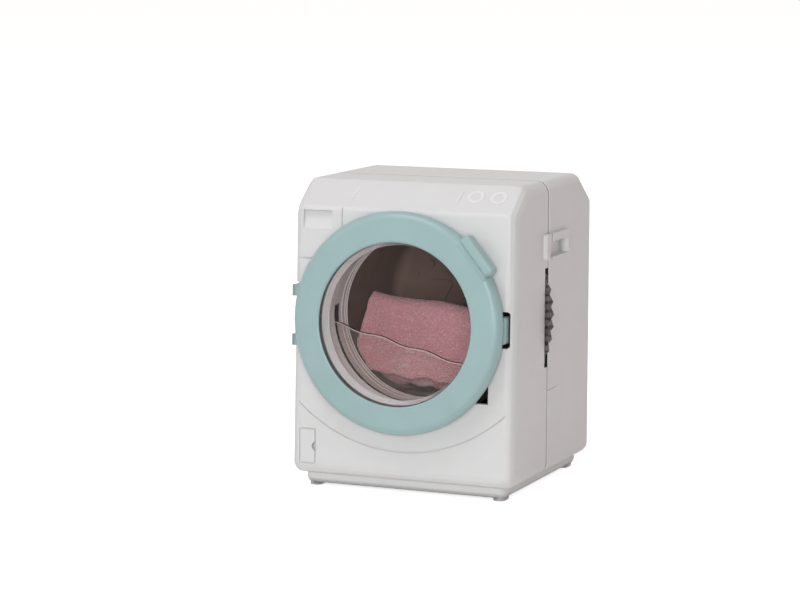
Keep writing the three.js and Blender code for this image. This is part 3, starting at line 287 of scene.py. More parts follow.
@dataclass(frozen=True)
class MouldedPlastic:
    """Opaque moulded plastic: satin, with faint flow mottling, softened edges, a painted highlight along its
    edges and painted shade in crevices.
    """

    name: str
    colour: Colour
    shade: Colour
    mottle: Blotches = Blotches(0.006, 3.0, 0.6)
    roughness: float = 0.42
    roughness_change: Span = (-0.05, 0.07)
    sheen: Blotches = Blotches(0.0022, 4.0, 0.6)
    shine: float = 0.4
    # Edge fields: the colour turns paler where the surface rounds over an edge, a painted highlight.
    edge_radius: float = 0.00014
    edge_turn: Span = (0.8, 0.995)
    edge_highlight: float = 0.5
    edge_gain: float = 1.12
    edge_more: float = 0.02
    edge_palest: float = 0.95
    grain: Relief = Relief(0.00012, 3.0, 0.000002, 0.6, 0.6)
    waves: Relief = Relief(0.009, 1.0, 0.00001, 0.6)
    # Crevice fields: ambient occlusion darkens the colour in hollows, painted shade.
    crevice_reach: float = 0.0008
    crevice_depth: float = 0.45
    crevice_span: Span = (0.25, 0.75)
    crevice_share: float = 0.35
    rays: int = 4
    axis_height: float = 0.038
    # A dark ring beyond a radius about the drum's axis: painted shade in the collar's groove.
    groove_radius: float = 0.0
    groove_shade: Colour = (0.05, 0.035, 0.033)
    # A dark soft box: painted shade of a slot that is not modelled.
    mark_low: Optional[tuple[float, float, float]] = None
    mark_high: tuple[float, float, float] = (0.0, 0.0, 0.0)
    notch_shade: Colour = (0.03, 0.022, 0.02)
    blur: float = 0.0001
    # A dark band inside a radius about the drum's axis: painted shade along the ring's inner edge by the pane.
    mouth_radius: float = 0.0
    mouth_span: Span = (0.00014, 0.00005)
    mouth_shade: Colour = (0.06, 0.075, 0.075)
    # Dark bands between the lumps of the wheel's twisted rim: painted shade in their hollows.
    lumps: float = 0.0
    lump_span: Span = (0.15, 0.5)
    lump_strength: float = 0.9
    lump_shade: Colour = (0.012, 0.009, 0.008)
    seam_place: Optional[float] = None
    seam_height: Span = (0.025, 0.056)
    seam_low_share: float = 0.18
    # The seam's lines: a dark one, painted shade over the gap, and a pale one behind it, a painted highlight
    # on the edge.
    seam: tuple[SeamLine, ...] = (
        SeamLine(0.0, 0.00014, 0.00028, 0.8, (0.10, 0.075, 0.07)),
        SeamLine(0.00058, 0.0002, 0.00034, 0.9, (0.96, 0.945, 0.94)),
    )

    def build(self) -> bpy.types.Material:
        """Build the material.

        Returns:
            The material.
        """
        tree = ShaderTree(bpy.data.materials.new(self.name))
        base = tree.blend(tree.spread(self.mottle, 0.0, 1.0), self.colour, self.shade)
        rounded = tree.add("Bevel", {"samples": self.rays}, Radius=self.edge_radius).outputs["Normal"]
        true = tree.add("NewGeometry").outputs["Normal"]
        across = tree.vector("DOT_PRODUCT", rounded, true).outputs["Value"]
        # Painted highlight: paler colour along edges, found where the rounded normal turns from the true one.
        edge = tree.remap(across, *self.edge_turn, self.edge_highlight, 0.0)
        paler = (channel * self.edge_gain + self.edge_more for channel in self.colour)
        base = tree.blend(edge, base, tuple(min(channel, self.edge_palest) for channel in paler))
        # Painted shade: ambient occlusion darkens the colour in crevices.
        hollow = tree.add("AmbientOcclusion", {"samples": self.rays}, Distance=self.crevice_reach)
        crevice_shade = tree.remap(hollow.outputs["AO"], *self.crevice_span, self.crevice_depth, 0.0)
        base = tree.blend(crevice_shade, base, shaded(self.shade, self.crevice_share))
        base = self.own_marks(tree, base)
        smoothest, roughest = (self.roughness + change for change in self.roughness_change)
        shader = tree.add(
            "BsdfPrincipled",
            Base_Color=base,
            Roughness=tree.spread(self.sheen, smoothest, roughest),
            Normal=tree.roughen(self.grain, tree.roughen(self.waves, rounded)),
            Specular_IOR_Level=self.shine,
        )
        return tree.finish(shader.outputs["BSDF"])

    def own_marks(self, tree: ShaderTree, base: Socket) -> Socket:
        """Paint what only some mouldings have: painted shade in the groove, notch, mouth and between lumps,
        and the seam lines.

        Args:
            tree: The material's tree.
            base: The colour without them.

        Returns:
            The colour with them.
        """
        if self.groove_radius > 0:
            groove = self.by_radius(tree, self.groove_radius, self.groove_radius + self.blur)
            base = tree.blend(groove, base, self.groove_shade)
        if self.mark_low is not None:
            base = tree.blend(self.in_notch_shade(tree), base, self.notch_shade)
        if self.mouth_radius > 0:
            none, full = (self.mouth_radius + reach for reach in self.mouth_span)
            base = tree.blend(self.by_radius(tree, none, full), base, self.mouth_shade)
        if self.lumps > 0:
            base = tree.blend(self.between_lumps(tree), base, self.lump_shade)
        if self.seam_place is not None:
            base = self.seam_lines(tree, base)
        return base

    def seam_lines(self, tree: ShaderTree, base: Socket) -> Socket:
        """Draw the seam: painted shade over its gap and a painted highlight on the edge behind it, fainter
        towards the foot.

        Args:
            tree: The material's tree.
            base: The colour without the seam.

        Returns:
            The colour with the seam.
        """
        spot = tree.add("SeparateXYZ", Vector=tree.place()).outputs
        high = tree.remap(spot["Z"], *self.seam_height, self.seam_low_share, 1.0)
        for line in self.seam:
            away = tree.maths("ABSOLUTE", tree.maths("SUBTRACT", spot["Y"], self.seam_place + line.shift))
            share = tree.remap(away, line.full, line.none, line.strength, 0.0)
            base = tree.blend(tree.maths("MULTIPLY", share, high), base, line.colour)
        return base

    def in_notch_shade(self, tree: ShaderTree) -> Socket:
        """Find whether a point lies in the notch's painted shade, a soft box between two corners.

        Args:
            tree: The material's tree.

        Returns:
            The share, 0 to 1.
        """
        spot = tree.add("SeparateXYZ", Vector=tree.place()).outputs
        share: object = 1.0
        for axis, low, high in zip("XYZ", self.mark_low, self.mark_high):
            for edge, start, end in ((low, 0.0, 1.0), (high, 1.0, 0.0)):
                near = tree.remap(spot[axis], edge - self.blur, edge + self.blur, start, end)
                share = tree.maths("MULTIPLY", share, near)
        return share

    def between_lumps(self, tree: ShaderTree) -> Socket:
        """Find the hollows between the lumps of a twisted rim, where painted shade goes.

        Args:
            tree: The material's tree.

        Returns:
            0 on a lump, the strength in a hollow.
        """
        bands = tree.add(
            "TexWave", {"bands_direction": "Z"}, Vector=tree.place(), Scale=WAVE_LENGTH / self.lumps,
            Distortion=3.0, Detail=2.0, Detail_Scale=1.5,
        )
        return tree.remap(bands.outputs["Fac"], *self.lump_span, self.lump_strength, 0.0)

    def by_radius(self, tree: ShaderTree, none: float, full: float) -> Socket:
        """Find how far a point lies between two radii about the drum's axis.

        Args:
            tree: The material's tree.
            none: The radius that gives 0.
            full: The radius that gives 1.

        Returns:
            The share, 0 to 1.
        """
        centred = tree.vector("SUBTRACT", tree.place(), (0.0, 0.0, self.axis_height)).outputs["Vector"]
        flat = tree.vector("MULTIPLY", centred, (1.0, 0.0, 1.0)).outputs["Vector"]
        radius = tree.vector("LENGTH", flat).outputs["Value"]
        return tree.remap(radius, none, full, 0.0, 1.0)


@dataclass(frozen=True)
class ClearPlastic:
    """Clear moulded plastic: see-through, with a sheen, fine scuffs and a slight haze."""

    name: str
    tint: Colour
    haze_colour: Colour
    haze: float = 0.05
    streak: float = 0.0
    mirror_index: float = 1.12
    roughness: float = 0.04
    roughness_change: float = 0.08
    sheen: Blotches = Blotches(0.0008, start=0.35)
    ripple: Relief = Relief(0.004, 2.0, 0.000012, 0.7)
    scuffs: Blotches = Blotches(0.0016, 5.0, 0.7, 0.4, 0.75)
    scuff_shares: Span = (0.4, 1.8)
    scratches: Blotches = Blotches(0.0012, 4.0, 0.7, 0.52, 0.72, (5.0, 1.0, 1.0))

    def build(self) -> bpy.types.Material:
        """Build the material.

        Returns:
            The material.
        """
        tree = ShaderTree(bpy.data.materials.new(self.name))
        ripple = tree.roughen(self.ripple)
        clear = tree.add("BsdfTransparent", Color=self.tint).outputs["BSDF"]
        gloss = tree.spread(self.sheen, self.roughness, self.roughness + self.roughness_change)
        mirror = tree.add("BsdfGlossy", Color=PURE_WHITE, Roughness=gloss, Normal=ripple).outputs["BSDF"]
        fresnel = tree.add("Fresnel", IOR=self.mirror_index, Normal=ripple).outputs["Fac"]
        shiny = tree.mix(fresnel, clear, mirror)
        thin, thick = (self.haze * share for share in self.scuff_shares)
        scuffs = tree.spread(self.scuffs, thin, thick)
        scratches = tree.spread(self.scratches, 0.0, self.streak)
        milk = tree.add("BsdfDiffuse", Color=self.haze_colour).outputs["BSDF"]
        return tree.finish(tree.mix(tree.maths("ADD", scuffs, scratches), shiny, milk))


@dataclass(frozen=True)
class PlateEdge:
    """A cut edge of clear plastic, partly see-through, coloured as a band of painted shade when dark and
    painted highlight when pale.
    """

    name: str
    colour: Colour
    clearness: float = 0.3
    unevenness: float = 0.5
    patches: Blotches = Blotches(0.0018, 3.0, 0.6)
    faint_share: float = 0.7
    saw_marks: Relief = Relief(0.0002, 2.0, 0.000004, 0.5)
    roughness: float = 0.25
    shine: float = 0.3
    tint: Colour = (0.95, 0.94, 0.93)

    def build(self) -> bpy.types.Material:
        """Build the material.

        Returns:
            The material.
        """
        tree = ShaderTree(bpy.data.materials.new(self.name))
        uneven = tree.spread(self.patches, 0.0, self.unevenness)
        edge = tree.add(
            "BsdfPrincipled",
            Base_Color=tree.blend(uneven, self.colour, shaded(self.colour, self.faint_share)),
            Roughness=self.roughness,
            Normal=tree.roughen(self.saw_marks),
            Specular_IOR_Level=self.shine,
        )
        clear = tree.add("BsdfTransparent", Color=self.tint)
        return tree.finish(tree.mix(self.clearness, edge.outputs["BSDF"], clear.outputs["BSDF"]))


@dataclass(frozen=True)
class TerryCloth:
    """Looped terry: loop tops paler than the deeper ground, a painted highlight, in rows that wander a little.
    """

    name: str
    tips: Colour
    ground: Colour
    loop_size: float = 0.00046
    loop_span: Span = (0.05, 0.75)
    tip_span: Span = (0.1, 0.5)
    tip_cover: Span = (0.15, 0.85)
    drift_size: float = 0.0016
    drift_reach: float = 0.0003
    tip_patches: Blotches = Blotches(0.0012, 4.0, 0.7, 0.35)
    clouds: Blotches = Blotches(0.006)
    cloud_strength: float = 0.35
    cloud_share: float = 0.8
    pile_depth: float = 0.0002
    pile_strength: float = 0.9
    fuzz: Relief = Relief(0.00009, 3.0, 0.00003, 0.8, 0.7)
    roughness: float = 0.95
    shine: float = 0.12
    sheen: float = 0.35
    sheen_roughness: float = 0.5

    def build(self) -> bpy.types.Material:
        """Build the material.

        Returns:
            The material.
        """
        tree = ShaderTree(bpy.data.materials.new(self.name))
        place = tree.place()
        drift = tree.add("TexNoise", Vector=place, Scale=1 / self.drift_size, Detail=2.0).outputs["Color"]
        wander = tree.vector("MULTIPLY_ADD", drift, (self.drift_reach,) * 3, place).outputs["Vector"]
        cell = tree.add("TexVoronoi", Vector=wander, Scale=1 / self.loop_size).outputs["Distance"]
        height = tree.remap(cell, *self.loop_span, 1.0, 0.0)
        # Painted highlight: the loop tops take the paler tips colour, in patches.
        pale = tree.remap(cell, *self.tip_span, 1.0, 0.0)
        mask = tree.maths("MULTIPLY", pale, tree.spread(self.tip_patches, *self.tip_cover))
        clouds = tree.spread(self.clouds, 0.0, self.cloud_strength)
        cloth = tree.blend(clouds, self.ground, shaded(self.ground, self.cloud_share))
        pile = tree.bump(height, self.pile_depth, self.pile_strength)
        shader = tree.add(
            "BsdfPrincipled",
            Base_Color=tree.blend(mask, cloth, self.tips),
            Roughness=self.roughness,
            Normal=tree.roughen(self.fuzz, pile),
            Specular_IOR_Level=self.shine,
            Sheen_Weight=self.sheen,
            Sheen_Roughness=self.sheen_roughness,
        )
        return tree.finish(shader.outputs["BSDF"])


@dataclass(frozen=True)
class PlatedSteel:
    """Zinc plated steel with turning marks and a slightly uneven shine."""

    name: str
    colour: Colour = (0.58, 0.58, 0.6)
    patina: Blotches = Blotches(0.0009, 4.0, 0.7, 0.35)
    patina_strength: float = 0.6
    patina_share: float = 0.72
    sheen: Blotches = Blotches(0.0004)
    roughness: Span = (0.22, 0.42)
    turning_marks: Relief = Relief(0.00008, 2.0, 0.000004, 0.6)

    def build(self) -> bpy.types.Material:
        """Build the material.

        Returns:
            The material.
        """
        tree = ShaderTree(bpy.data.materials.new(self.name))
        patina = tree.spread(self.patina, 0.0, self.patina_strength)
        shader = tree.add(
            "BsdfPrincipled",
            Base_Color=tree.blend(patina, self.colour, shaded(self.colour, self.patina_share)),
            Roughness=tree.spread(self.sheen, *self.roughness),
            Normal=tree.roughen(self.turning_marks),
            Metallic=1.0,
        )
        return tree.finish(shader.outputs["BSDF"])


@dataclass(frozen=True)
class PaperFloor:
    """White studio paper: it shows white itself, keeps a shadow and lights what stands on it."""

    name: str = "studio_paper"
    colour: Colour = (0.82, 0.80, 0.79)
    seen_colour: Colour = (0.95, 0.95, 0.95)
    lift: float = 0.75

    def build(self) -> bpy.types.Material:
        """Build the material.

        Returns:
            The material.
        """
        tree = ShaderTree(bpy.data.materials.new(self.name))
        paper = tree.add("BsdfDiffuse", Color=self.colour).outputs["BSDF"]
        white = tree.add("BsdfDiffuse", Color=self.seen_colour).outputs["BSDF"]
        glow = tree.add("Emission", Color=PURE_WHITE, Strength=self.lift).outputs["Emission"]
        bright = tree.wire("AddShader", {}, white, glow).outputs[0]
        return tree.finish(tree.mix(tree.watched(), paper, bright))


class Finishes:
    """Every finish of the machine, built once."""

    white_colour: Colour = (0.76, 0.755, 0.75)
    white_shade: Colour = (0.745, 0.738, 0.732)
    seam_place: float = -0.0018
    # Corners of the notch's painted shade: a dark box on the collar above the wave plate's left end, standing
    # for a slot's shade.
    notch_outside: float = -0.0200
    notch_inside: float = -0.0176
    notch_rise: float = 0.0038
    notch_overlap: float = 0.0002
    notch_depth: float = 0.0009

    def __init__(self) -> None:
        """Build the materials."""
        _, rear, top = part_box("wave_plate")[1]
        notch_low = (self.notch_outside, rear, top - self.notch_overlap)
        notch_high = (self.notch_inside, rear + self.notch_depth, top + self.notch_rise)
        # The shells: painted shade in crevices, a painted highlight on edges, and the seam's painted shade and
        # highlight.
        self.white = MouldedPlastic(
            "white_moulding", self.white_colour, self.white_shade, shine=0.35, crevice_depth=0.1,
            crevice_reach=0.0005, seam_place=self.seam_place,
        ).build()
        # The plinth: the shells' white with stronger, wider painted shade in its crevices.
        self.base = MouldedPlastic(
            "base_crevice_shade_moulding", self.white_colour, self.white_shade, shine=0.35, crevice_depth=0.7,
            crevice_reach=0.003,
        ).build()
        # The lifted panel marks: a paler white than the panel, a painted highlight.
        self.marks = MouldedPlastic(
            "panel_marks_highlight", (0.83, 0.83, 0.83), (0.82, 0.82, 0.82), shine=0.4, crevice_depth=0.0
        ).build()
        # Painted shade: faces inside the shells and the rims of the wheel's slots are coloured near black over
        # the white plastic.
        self.inside = MouldedPlastic(
            "unlit_inside", (0.045, 0.04, 0.038), (0.03, 0.026, 0.025), roughness=0.7, edge_highlight=0.0,
            shine=0.1,
        ).build()
        # The wheel: a darker copy of the drum's brown, painted shade for the wheel down in its slots, with
        # painted shade between its lumps.
        self.wheel = MouldedPlastic(
            "wheel_shaded_moulding", (0.14, 0.115, 0.11), (0.09, 0.072, 0.068), edge_highlight=0.7, crevice_depth=0.8,
            crevice_reach=0.0007, shine=0.4, lumps=0.0018,
        ).build()
        # The collar: a darker, pinker copy of the white, painted shade inside the throat, with painted shade
        # in its groove and notch and a painted highlight on edges.
        self.throat = MouldedPlastic(
            "throat_shaded_moulding", (0.70, 0.65, 0.645), (0.67, 0.62, 0.615), shine=0.3, edge_highlight=0.9,
            crevice_depth=0.5, crevice_reach=0.001, groove_radius=0.01855, mark_low=notch_low,
            mark_high=notch_high,
        ).build()
        # The ring: its own mint, with painted shade along its inner edge and in crevices and a painted
        # highlight on edges.
        self.mint = MouldedPlastic(
            "mint_moulding", (0.35, 0.50, 0.50), (0.335, 0.475, 0.475), roughness=0.34, edge_highlight=0.6,
            edge_radius=0.00022, shine=0.5, crevice_depth=0.55, crevice_reach=0.0011, mouth_radius=0.0177,
        ).build()
        self.dark = MouldedPlastic(
            "dark_moulding", (0.33, 0.215, 0.18), (0.28, 0.18, 0.15), roughness=0.5, edge_highlight=0.3,
            crevice_depth=0.3, shine=0.3,
        ).build()
        self.window = ClearPlastic(
            "window_clear", (0.985, 0.985, 0.98), (0.75, 0.74, 0.74), haze=0.006, mirror_index=1.1
        ).build()
        self.plate = ClearPlastic(
            "wave_plate_clear", (1.0, 0.985, 0.98), (0.86, 0.74, 0.72), haze=0.036, streak=0.2
        ).build()
        # The pane's wall: a pale, partly clear band, a painted highlight.
        self.rim = PlateEdge("window_wall_highlight", (0.90, 0.865, 0.875), 0.38, unevenness=0.12).build()
        # The wave plate's cut edge: near black, painted shade; its chamfer: pinkish, a painted highlight.
        self.plate_shade = PlateEdge("wave_plate_edge_shade", (0.06, 0.038, 0.035), 0.05).build()
        self.plate_light = PlateEdge("wave_plate_chamfer_highlight", (0.85, 0.62, 0.62), 0.3).build()
        # The towel: a pink ground, with paler loop tops as a painted highlight.
        self.terry = TerryCloth("terry_pile", linear(248, 211, 217), linear(217, 154, 162)).build()
        self.steel = PlatedSteel("plated_steel").build()


class Bench:
    """Hand tools that work on one object at a time."""

    lathe_weld: float = 0.000002
    solid_weld: float = 0.000001
    flat_angle: float = 0.3

    @staticmethod
    def clear() -> None:
        """Leave nothing selected and no object active."""
        if bpy.context.object is not None and bpy.context.object.mode != "OBJECT":
            bpy.ops.object.mode_set(mode="OBJECT")
        bpy.ops.object.select_all(action="DESELECT")
        bpy.context.view_layer.objects.active = None

    @staticmethod
    def hold(piece: bpy.types.Object) -> None:
        """Select one object alone and make it active.

        Args:
            piece: The object.
        """
        Bench.clear()
        piece.select_set(True)
        bpy.context.view_layer.objects.active = piece

    @staticmethod
    def pick(piece: bpy.types.Object, test: Callable[[Vector], bool]) -> None:
        """Enter edit mode with the vertices that pass a test selected.

        Args:
            piece: The object.
            test: Says whether a vertex, given by its place, is taken.
        """
        Bench.hold(piece)
        bpy.ops.object.mode_set(mode="EDIT")
        bpy.ops.mesh.select_mode(type="VERT")
        bpy.ops.mesh.select_all(action="DESELECT")
        bpy.ops.object.mode_set(mode="OBJECT")
        for vertex in piece.data.vertices:
            vertex.select = test(vertex.co)
        bpy.ops.object.mode_set(mode="EDIT")

    @staticmethod
    def open() -> None:
        """Enter edit mode with everything selected."""
        bpy.ops.object.mode_set(mode="EDIT")
        bpy.ops.mesh.select_all(action="SELECT")

    @staticmethod
    def close() -> None:
        """Go back to object mode."""
        bpy.ops.object.mode_set(mode="OBJECT")

    @staticmethod
    def lathe(name: str, profile: Profile, steps: int = 160) -> bpy.types.Object:
        """Turn a profile about the Y axis.

        Args:
            name: The new object's name.
            profile: Points as (radius, y), first to last.
            steps: Steps round the circle.

        Returns:
            The turned object.
        """
        Bench.clear()
        bpy.ops.mesh.primitive_plane_add(size=0.001)
        piece = bpy.context.object
        piece.name = name
        Bench.open()
        bpy.ops.mesh.merge(type="CENTER")
        start = Vector((profile[0][0], profile[0][1], 0.0))
        bpy.ops.transform.translate(value=start)
        for (r0, y0), (r1, y1) in zip(profile, profile[1:]):
            bpy.ops.mesh.extrude_vertices_move(TRANSFORM_OT_translate={"value": (r1 - r0, y1 - y0, 0.0)})
        bpy.ops.mesh.select_all(action="SELECT")
        bpy.ops.mesh.spin(steps=steps, angle=2 * math.pi, center=(0, 0, 0), axis=(0, 1, 0))
        bpy.ops.mesh.select_all(action="SELECT")
        bpy.ops.mesh.remove_doubles(threshold=Bench.lathe_weld)
        bpy.ops.mesh.select_all(action="SELECT")
        bpy.ops.mesh.normals_make_consistent(inside=False)
        Bench.close()
        return piece

    @staticmethod
    def box(name: str, low: Sequence[float], high: Sequence[float]) -> bpy.types.Object:
        """Add a box between two corners, with its place in its mesh.

        Args:
            name: The new object's name.
            low: Lowest corner.
            high: Highest corner.

        Returns:
            The box.
        """
        Bench.clear()
        middle = [(a + b) / 2 for a, b in zip(low, high)]
        bpy.ops.mesh.primitive_cube_add(size=1, location=middle)
        piece = bpy.context.object
        piece.name = name
        piece.scale = [b - a for a, b in zip(low, high)]
        bpy.ops.object.transform_apply(location=True, rotation=True, scale=True)
        return piece

    @staticmethod
    def modify(piece: bpy.types.Object, kind: str, **settings: object) -> None:
        """Add a modifier and apply it.

        Args:
            piece: The object.
            kind: The modifier's type.
            **settings: The modifier's properties.
        """
        Bench.hold(piece)
        modifier = piece.modifiers.new(kind.title(), kind)
        for key, value in settings.items():
            setattr(modifier, key, value)
        bpy.ops.object.modifier_apply(modifier=modifier.name)

    @staticmethod
    def round_edges(piece: bpy.types.Object, width: float, segments: int = 3, angle: float = 30) -> None:
        """Round an object's sharp edges.

        Args:
            piece: The object.
            width: How far the rounding reaches.
            segments: Steps across it.
            angle: Edges that turn by more than this, in degrees, are rounded.
        """
        Bench.modify(
            piece, "BEVEL", width=width, segments=segments, limit_method="ANGLE",
            angle_limit=math.radians(angle), use_clamp_overlap=True,
        )

    @staticmethod
    def smooth(piece: bpy.types.Object, angle: float = 35, weighted: bool = True) -> None:
        """Shade an object smooth, flat faces kept flat.

        Args:
            piece: The object.
            angle: Edges that turn by more than this, in degrees, stay sharp.
            weighted: Whether large faces lead the normals.
        """
        Bench.hold(piece)
        bpy.ops.object.shade_smooth_by_angle(angle=math.radians(angle))
        if weighted:
            Bench.modify(piece, "WEIGHTED_NORMAL", mode="FACE_AREA", weight=100, keep_sharp=True)

    @staticmethod
    def join(name: str, pieces: Sequence[bpy.types.Object]) -> bpy.types.Object:
        """Join objects into one.

        Args:
            name: The joined object's name.
            pieces: The objects, the first one kept.

        Returns:
            The joined object.
        """
        Bench.hold(pieces[0])
        for piece in pieces:
            piece.select_set(True)
        bpy.ops.object.join()
        pieces[0].name = name
        return pieces[0]

    @staticmethod
    def put(piece: bpy.types.Object, place: Matrix) -> bpy.types.Object:
        """Move an object by a matrix, with its place kept in its mesh.

        Args:
            piece: The object.
            place: Where its origin goes.

        Returns:
            The object.
        """
        Bench.hold(piece)
        piece.matrix_world = place @ piece.matrix_world
        bpy.ops.object.transform_apply(location=True, rotation=True, scale=True)
        return piece

    @staticmethod
    def from_node(node: str, name: str) -> bpy.types.Object:
        """Copy a solid of the frame with its loose triangles welded.

        Args:
            node: The node's name.
            name: The new object's name.

        Returns:
            The welded copy.
        """
        mesh = frame["nodes"][node].data.copy()
        piece = bpy.data.objects.new(name, mesh)
        bpy.context.scene.collection.objects.link(piece)
        Bench.hold(piece)
        Bench.open()
        bpy.ops.mesh.remove_doubles(threshold=Bench.solid_weld)
        bpy.ops.mesh.dissolve_limited(angle_limit=math.radians(Bench.flat_angle))
        Bench.close()
        return piece

    @staticmethod
    def deliver(piece: bpy.types.Object, body: Body, slot: Slot, material: bpy.types.Material,
                *nodes: str) -> bpy.types.Object:
        """Dress a finished piece, fix it to its body and report it.

        Args:
            piece: The object.
            body: The body it rides on.
            slot: The record's slot its finish belongs to; not used.
            material: Its material.
            *nodes: The nodes it stands for.

        Returns:
            The object.
        """
        piece.data.materials.clear()
        piece.data.materials.append(material)
        if nodes:
            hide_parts(*nodes)
        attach(piece, body.value)
        LOG.info("%s: %d faces on %s", piece.name, len(piece.data.polygons), body.value)
        return piece


def arc(centre: tuple[float, float], radius: float, start: float, end: float, steps: int) -> Profile:
    """List the points of an arc.

    Args:
        centre: Its centre.
        radius: Its radius.
        start: First angle in degrees.
        end: Last angle in degrees.
        steps: Steps along it.

    Returns:
        The points, both ends included.
    """
    angles = [math.radians(start + (end - start) * k / steps) for k in range(steps + 1)]
    return [(centre[0] + radius * math.cos(a), centre[1] + radius * math.sin(a)) for a in angles]


class DoorPlace:
    """Where the door lies: a frame on the leaning face, Y into the housing, Z up the face."""

    hinge_depth: float = 0.0009

    def __init__(self) -> None:
        """Work the frame out from the hinge and drum joints."""
        joints = {joint["name"]: joint for joint in frame["joints"]}
        hinge = joints["door_hinge"]
        self.drum_axis = Vector(joints["drum_spin"]["pos_m"])
        down = Vector(hinge["axis"])
        self.lean = math.atan2(-down.y, -down.z)
        inward = Vector((0.0, math.cos(self.lean), -math.sin(self.lean)))
        centre = Vector(hinge["pos_m"]) - inward * self.hinge_depth
        centre.x = 0.0
        self.matrix = Matrix.Translation(centre) @ Matrix.Rotation(-self.lean, 4, "X")


@dataclass
class Housing:
    """The two white shells."""

    finishes: Finishes
    place: DoorPlace
    wall: float = 0.0013
    pocket_depth: float = 0.0055
    panel_foot: float = 0.058
    throat_reach: float = 0.0205
    slot_reach: float = 0.0115
    slot_margin: float = 0.0007
    mark_reach: float = 0.0226
    mark_depth: float = 0.0006
    mark_lift: float = 0.00007
    crease_margin: float = 0.0009
    smooth_angle: float = 20.0
    slot_rim_turn: float = 0.3
    inward_turn: float = -0.5
    panel_tilt: Span = (-0.4, 0.6)
    panel_twist: float = 0.02

    def __post_init__(self) -> None:
        """Take the outer box from the shells."""
        self.low, self.high = (Vector(corner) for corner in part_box("rear_shell"))
        self.low.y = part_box("front_shell")[0][1]
        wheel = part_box("thumb_wheel")
        self.slot_front, self.slot_rear = wheel[0][1] - self.slot_margin, wheel[1][1] + self.slot_margin

    def inner(self, face: bpy.types.MeshPolygon) -> bool:
        """Tell whether a face lies on the unlit inside of the housing.

        Args:
            face: A face of a shell.

        Returns:
            True for a face inside, and for the rims of the wheel's slots.
        """
        spot, normal, axis = face.center, face.normal, self.place.drum_axis
        deep = self.low.y + 2 * self.wall < spot.y < self.high.y - self.wall
        tall = self.low.z + self.wall < spot.z < self.high.z - self.wall
        if spot.z > self.panel_foot:
            return False
        side = abs(spot.x) > self.high.x - self.pocket_depth
        beside_wheel = self.slot_front < spot.y < self.slot_rear and abs(spot.z - axis.z) < self.slot_reach
        if side and beside_wheel and abs(normal.x) < self.slot_rim_turn:
            return True
        if side and normal.x * spot.x > self.inward_turn * abs(spot.x):
            return False
        reach = math.hypot(spot.x - axis.x, spot.z - axis.z)
        return deep and tall and abs(spot.x) < self.high.x - self.wall and reach > self.throat_reach

    def raise_marks(self, piece: bpy.types.Object) -> set[int]:
        """Lift the panel's fine marks until they stand just proud of it.

        Args:
            piece: The front shell's copy.

        Returns:
            The indices of the lifted vertices.
        """
        lifted = set()
        forward, upward = self.panel_tilt
        panels = [
            face for face in piece.data.polygons
            if face.normal.y < forward and face.normal.z > upward and abs(face.normal.x) < self.panel_twist
        ]
        panel = max(panels, key=lambda face: face.area)
        normal, spot = panel.normal.copy(), panel.center.copy()
        heights = [piece.data.vertices[index].co.z for index in panel.vertices]
        low, high = min(heights) + self.crease_margin, max(heights) - self.crease_margin
        for vertex in piece.data.vertices:
            depth = (vertex.co - spot).dot(normal)
            inside = low < vertex.co.z < high and abs(vertex.co.x) < self.mark_reach
            if inside and -self.mark_depth < depth < -self.mark_lift / 2:
                vertex.co += normal * (self.mark_lift - depth)
                lifted.add(vertex.index)
        return lifted

    def make(self) -> None:
        """Dress the shells, white outside and unlit inside."""
        for node in ("front_shell", "rear_shell"):
            piece = Bench.from_node(node, node + "_moulding")
            marks = self.raise_marks(piece) if node == "front_shell" else set()
            Bench.smooth(piece, self.smooth_angle)
            Bench.deliver(piece, Body.HOUSING, Slot.WHITE, self.finishes.white, node)
            # Inner faces take the near-black painted shade; the lifted marks take the paler white, a painted
            # highlight.
            piece.data.materials.append(self.finishes.inside)
            piece.data.materials.append(self.finishes.marks)
            for face in piece.data.polygons:
                if marks.issuperset(face.vertices):
                    face.material_index = 2
                else:
                    face.material_index = 1 if self.inner(face) else 0


@dataclass
class Collar:
    """The white collar behind the washing throat, with fine rings round the drum's mouth."""

    finishes: Finishes
    place: DoorPlace
    inner_radius: float = 0.0184
    ring_height: float = 0.0002
    ring_width: float = 0.0003
    ring_insets: tuple[float, ...] = (0.0001, 0.0012, 0.0029)
    ring_crown: Span = (0.7, 0.3)
    ring_steps: int = 144
    smooth_angle: float = 34.0

    def fine_ring(self, rear: float, inset: float) -> bpy.types.Object:
        """Turn one fine ring on the sleeve's inner wall.

        Args:
            rear: Y of the sleeve's rear edge.
            inset: How far before that edge the ring lies.

        Returns:
            The ring.
        """
        y = rear - inset
        inside, outside = self.inner_radius - self.ring_height, self.inner_radius + self.ring_height
        front_share, rear_share = self.ring_crown
        profile: Profile = [
            (outside, y - self.ring_width),
            (inside, y - self.ring_width * front_share),
            (inside, y - self.ring_width * rear_share),
            (outside, y),
            (outside, y - self.ring_width),
        ]
        ring = Bench.lathe("collar_fine_ring", profile, self.ring_steps)
        return Bench.put(ring, Matrix.Translation((0, 0, self.place.drum_axis.z)))

    def make(self) -> None:
        """Dress the collar and add its rings."""
        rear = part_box("inner_collar")[1][1]
        collar = Bench.from_node("inner_collar", "inner_collar_moulding")
        pieces = [collar] + [self.fine_ring(rear, inset) for inset in self.ring_insets]
        for piece in pieces:
            Bench.smooth(piece, self.smooth_angle)
        whole = Bench.join("inner_collar_moulding", pieces)
        Bench.deliver(whole, Body.HOUSING, Slot.WHITE, self.finishes.throat, "inner_collar")


